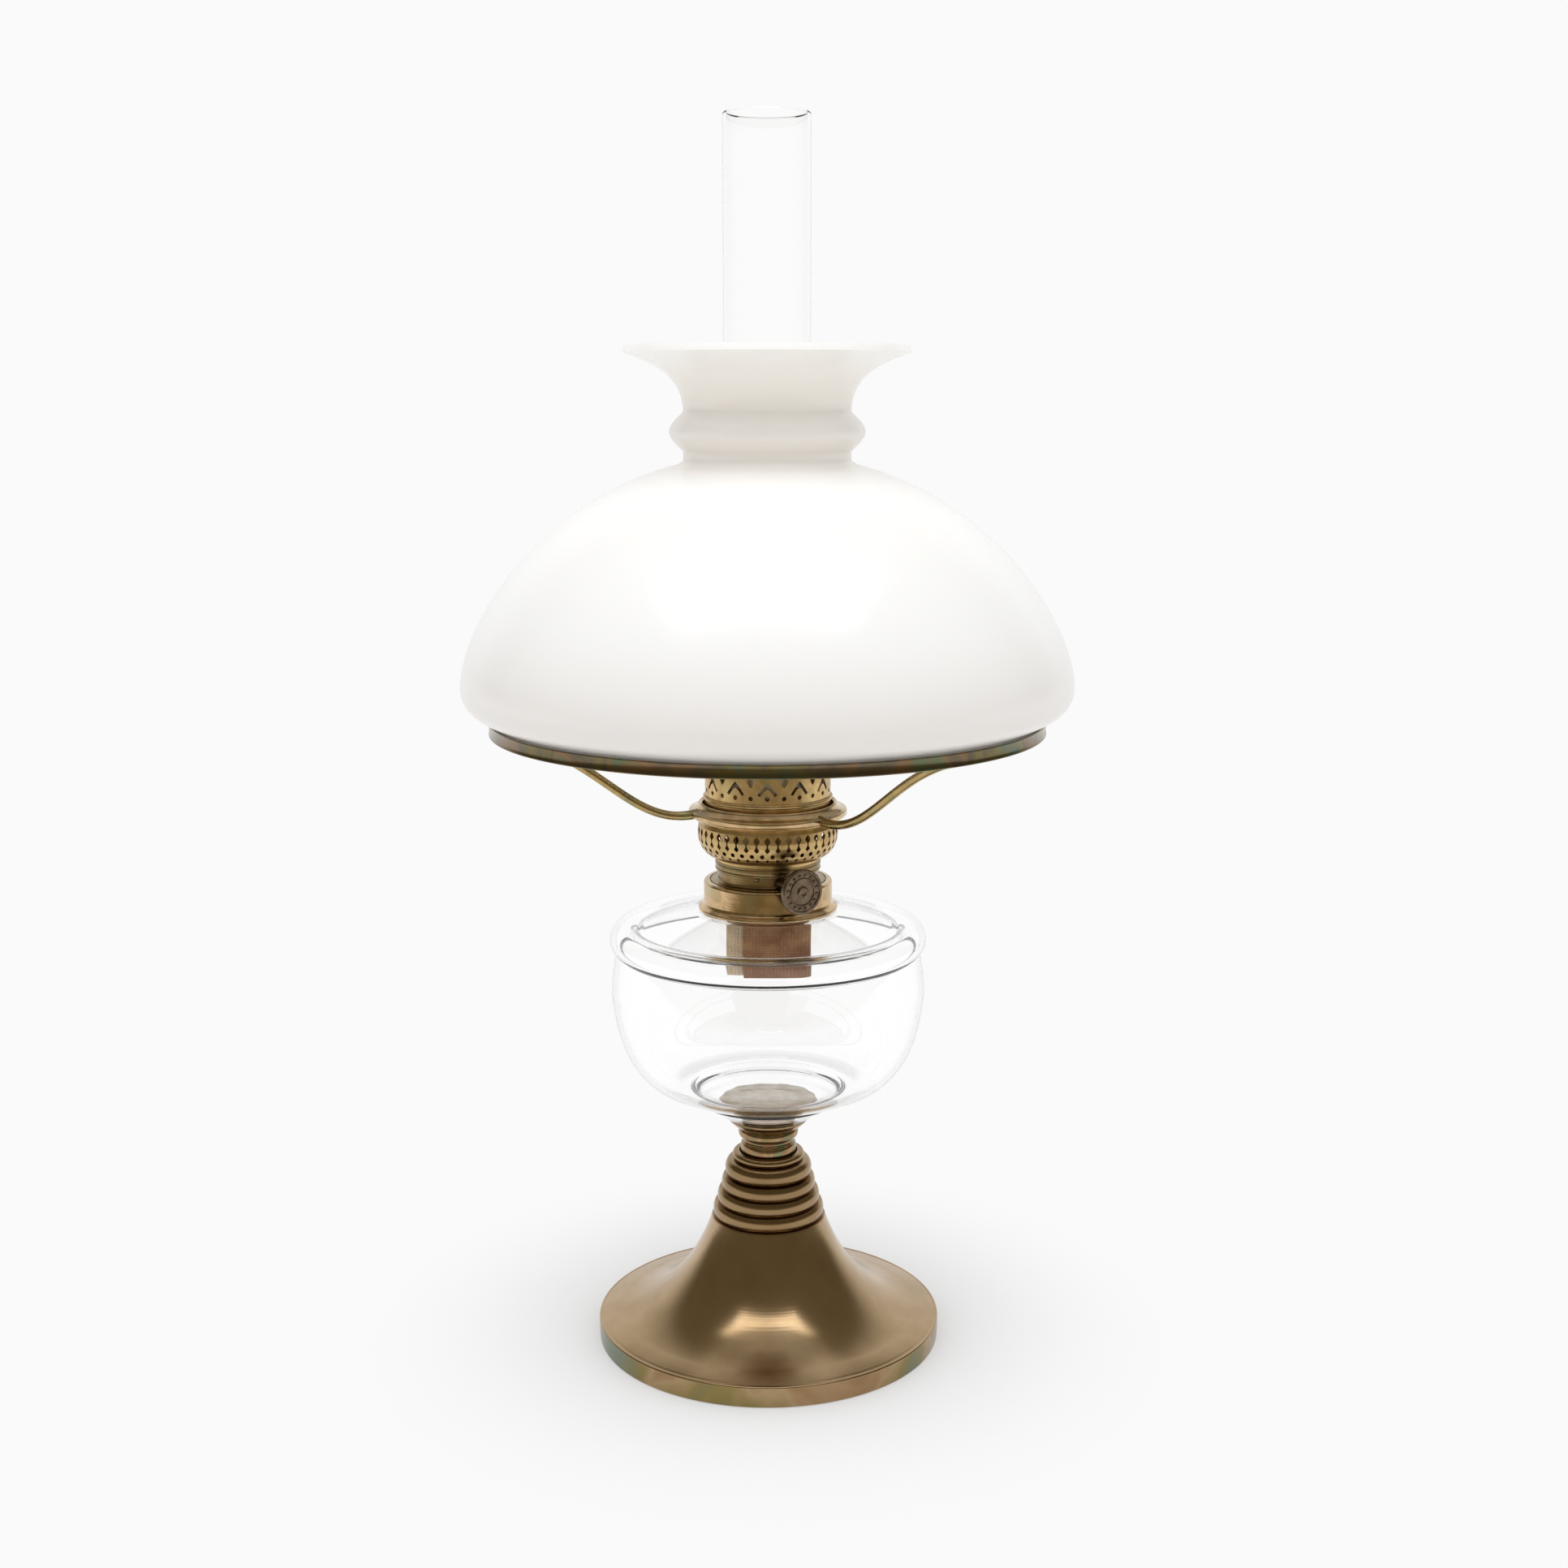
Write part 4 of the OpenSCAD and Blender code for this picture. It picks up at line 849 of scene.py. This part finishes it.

# %% [markdown]
# Cotton in a wick is woven from thick soft yarn: ribs run along the strip and the weft crosses them. Old
# oil has stained it a tan brown, less so along one selvage, and the eye sees a matt, slightly fuzzy
# cloth. Wave textures draw the two sets of yarn at their real spacing, and the gaps between the yarns
# get painted shade, shallower along the pale selvage.

# %% Woven cotton
WARP_MM, WEFT_MM, STAIN_MM, WAVE_TURN = 1.5, 1.1, 9, math.pi / 10
SELVAGE_FROM, SELVAGE_FULL = 29.0, 30.5
wick_cotton, tree, shader = new_material("woven_cotton_oiled")
strip = add_node(tree, "UVMap", {"uv_map": "UVMap"}).outputs["UV"]
yarns = []
for direction, spacing in (("X", WARP_MM), ("Y", WEFT_MM)):
    yarn = add_node(tree, "TexWave", {"bands_direction": direction}, Vector=strip, Distortion=0.6,
                    Detail=1, Scale=WAVE_TURN / (spacing * MM))
    yarns.append(yarn.outputs["Fac"])
weave = add_node(tree, "Math", {"operation": "MULTIPLY"}, i0=yarns[0], i1=yarns[1]).outputs[0]
across = add_node(tree, "SeparateXYZ", Vector=strip).outputs["X"]
selvage = add_node(tree, "MapRange", Value=across, From_Min=SELVAGE_FROM * MM,
                   From_Max=SELVAGE_FULL * MM).outputs["Result"]
stain = add_node(tree, "TexNoise", Vector=strip, Scale=1 / (STAIN_MM * MM), Detail=4).outputs["Fac"]
oiled = add_node(tree, "ValToRGB", stops=[(0.3, "#a06d4c"), (0.7, "#bc8b66")], Fac=stain).outputs["Color"]
clean = add_node(tree, "ValToRGB", stops=[(0.3, "#ffe0b6"), (0.7, "#fff0d6")], Fac=stain).outputs["Color"]
# Painted shade: where the weave is low, between the yarns, the cloth is multiplied darker; less on the
# selvage.
yarn_gap_shade = add_node(tree, "ValToRGB", stops=[(0.0, "#8a7a6c"), (0.6, "#ffffff")], Fac=weave).outputs["Color"]
cloth = add_node(tree, "Mix", MIX_COLOURS, i0=selvage, i6=oiled, i7=clean).outputs[2]
gap_shade_depth = add_node(tree, "MapRange", Value=selvage, To_Min=0.35, To_Max=0.1).outputs["Result"]
shaded = add_node(tree, "Mix", MULTIPLY_COLOURS, i0=gap_shade_depth, i6=cloth, i7=yarn_gap_shade).outputs[2]
tree.links.new(shaded, shader.inputs["Base Color"])
bump = add_node(tree, "Bump", Height=weave, Strength=0.6, Distance=0.0005)
tree.links.new(bump.outputs["Normal"], shader.inputs["Normal"])
shader.inputs["Roughness"].default_value = 0.9
shader.inputs["Sheen Weight"].default_value = 0.2
fit(wick_band, "wick", wick_cotton, "cotton", "wick")


# %% [markdown]
# The surroundings are white for every ray that looks at them: from the camera, through glass or by a
# mirror. Two things have to differ. Metal needs something dim to mirror, or it looks like paint, so
# mirrored rays get a switch of their own; Blender counts rays through sharp glass as glossy too, and they
# are taken off. And a white that is drawn as #fafafa is brought up to a full white of 1 where it is seen
# through glass.

# %% Which rays see white
WHITE, THROUGH_GLASS = "#fafafa", 0.046
SMOOTH = {"interpolation_type": "SMOOTHSTEP"}


def white_rays(tree):
    """Three values for white surroundings: looked at or not, only mirrored or not, and the strength."""
    rays = add_node(tree, "LightPath").outputs
    glossy, through = rays["Is Glossy Ray"], rays["Is Transmission Ray"]
    looks = add_node(tree, "Math", {"operation": "MAXIMUM"}, i0=rays["Is Camera Ray"], i1=through).outputs[0]
    looks = add_node(tree, "Math", {"operation": "MAXIMUM"}, i0=looks, i1=glossy).outputs[0]
    mirrored = add_node(tree, "Math", {"operation": "SUBTRACT"}, i0=glossy, i1=through).outputs[0]
    strength = add_node(tree, "Math", {"operation": "MULTIPLY_ADD"}, i0=through, i1=THROUGH_GLASS, i2=1.0)
    return looks, mirrored, strength.outputs[0]


print("white through glass:", round(colour(WHITE)[0] * (1 + THROUGH_GLASS), 3))

# %% [markdown]
# The lamp stands on a pale sweep in front of white. Near the lamp the floor is plain matt white and takes
# the shadow; further out it fades into the same white as the background, so no edge shows. The brass foot
# mirrors the floor on the camera's side, and there it is a dim beige.

# %% Floor
FLOOR_R, FADE_R, DIM_FROM, DIM_FULL = 8, 0.2, -0.45, -0.8
floor_mesh = bpy.data.meshes.new("floor")
shape = bmesh.new()
bmesh.ops.create_circle(shape, cap_ends=True, segments=96, radius=FLOOR_R)
shape.to_mesh(floor_mesh)
shape.free()
floor = bpy.data.objects.new("floor", floor_mesh)
bpy.context.scene.collection.objects.link(floor)
floor_white, tree, shader = new_material("matt_white_sweep")
shader.inputs["Base Color"].default_value = colour("#f6f6f6")
shader.inputs["Roughness"].default_value = 0.9
shader.inputs["Specular IOR Level"].default_value = 0.1
looks, mirrored, strength = white_rays(tree)
place = add_node(tree, "TexCoord").outputs["Object"]
away = add_node(tree, "VectorMath", {"operation": "LENGTH"}, i0=place).outputs["Value"]
fade = add_node(tree, "MapRange", SMOOTH, Value=away, From_Min=0.0, From_Max=FADE_R).outputs["Result"]
fade = add_node(tree, "Math", {"operation": "MULTIPLY"}, i0=fade, i1=looks).outputs[0]
depth = add_node(tree, "SeparateXYZ", Vector=place).outputs["Y"]
dim = add_node(tree, "MapRange", SMOOTH, Value=depth, From_Min=DIM_FROM, From_Max=DIM_FULL).outputs["Result"]
dim = add_node(tree, "Math", {"operation": "MULTIPLY"}, i0=dim, i1=mirrored).outputs[0]
sweep_colour = add_node(tree, "Mix", MIX_COLOURS, i0=dim, i6=colour(WHITE), i7=colour("#93866b")).outputs[2]
white = add_node(tree, "Emission", Color=sweep_colour, Strength=strength).outputs[0]
blend = add_node(tree, "MixShader", i0=fade, i1=shader.outputs[0], i2=white).outputs[0]
tree.links.new(blend, tree.nodes["Material Output"].inputs["Surface"])
floor_mesh.materials.append(floor_white)
print("floor radius", FLOOR_R, "m, plain white from", FADE_R, "m out")

# %% [markdown]
# Soft light comes from a white room. For rays that look at it the room is white; for the light on matt
# surfaces it is held lower, so that white stays below clipping. In a mirror the room is light behind the
# lamp alone and dim everywhere else, and that is what brass reflects.

# %% White room
ROOM_LIGHT, ROOM_BEHIND, ROOM_DIM = colour("#e2e2e2"), colour("#f4f4f4"), colour("#746c58")
# How far back a direction points, where 1 is straight behind the lamp.
BRIGHT_BACK, DIM_BACK = 0.8, 0.4
world = bpy.data.worlds.new("white_room")
bpy.context.scene.world = world
world.use_nodes = True
tree = world.node_tree
background = tree.nodes["Background"]
looks, mirrored, strength = white_rays(tree)
towards = add_node(tree, "TexCoord").outputs["Generated"]
back = add_node(tree, "SeparateXYZ", Vector=towards).outputs["Y"]
dim = add_node(tree, "MapRange", SMOOTH, Value=back, From_Min=BRIGHT_BACK, From_Max=DIM_BACK)
dim = dim.outputs["Result"]
in_mirror = add_node(tree, "Mix", MIX_COLOURS, i0=dim, i6=ROOM_BEHIND, i7=ROOM_DIM).outputs[2]
seen = add_node(tree, "Mix", MIX_COLOURS, i0=mirrored, i6=colour(WHITE), i7=in_mirror).outputs[2]
room = add_node(tree, "Mix", MIX_COLOURS, i0=looks, i6=ROOM_LIGHT, i7=seen).outputs[2]
tree.links.new(room, background.inputs["Color"])
tree.links.new(strength, background.inputs["Strength"])
print("light on matt surfaces:", round(ROOM_LIGHT[0], 2))

# %% [markdown]
# One large soft box hangs above and a little in front of the lamp. It gives the bright patch on the
# foot's bend and the sheen on the dome. An area lamp is used because a soft box is just that, a glowing
# rectangle.

# %% Soft box
BOX_PLACE, BOX_AIM = Vector((-0.02, -0.38, 1.55)), Vector((-0.02, -0.3, 0))
box_light = bpy.data.lights.new("overhead_box", "AREA")
box_light.shape = "RECTANGLE"
box_light.size, box_light.size_y, box_light.energy = 1.4, 0.75, 8.2
soft_box = bpy.data.objects.new("overhead_box", box_light)
soft_box.location = BOX_PLACE
soft_box.rotation_euler = (BOX_AIM - BOX_PLACE).to_track_quat("-Z", "Y").to_euler()
bpy.context.scene.collection.objects.link(soft_box)

# %% [markdown]
# The camera stands about 0.9 m in front of the lamp's axis and looks down by about eleven degrees, as in
# the photograph. Its lens comes from the width of the picture in pixels and the focal length in the same
# pixels.

# %% Camera
PHOTO_PX, FOCAL_PX, SENSOR_MM = 1932, 2522.456, 36
CAMERA_PLACE, LOOK_DOWN = (0.0070, -0.87009, 0.418675), 10.8454
camera_data = bpy.data.cameras.new("photo_camera")
camera_data.sensor_width = SENSOR_MM
camera_data.lens = SENSOR_MM * FOCAL_PX / PHOTO_PX
camera = bpy.data.objects.new("photo_camera", camera_data)
camera.location = CAMERA_PLACE
camera.rotation_euler = (math.radians(90 - LOOK_DOWN), 0, 0)
bpy.context.scene.collection.objects.link(camera)
bpy.context.scene.camera = camera
bpy.context.scene.view_settings.view_transform = "Standard"
print("lens", round(camera_data.lens, 2), "mm")

# %% [markdown]
# At the end the view layer is brought up to date. The visual lamp must not outgrow the solid one.

# %% Finish
bpy.context.view_layer.update()
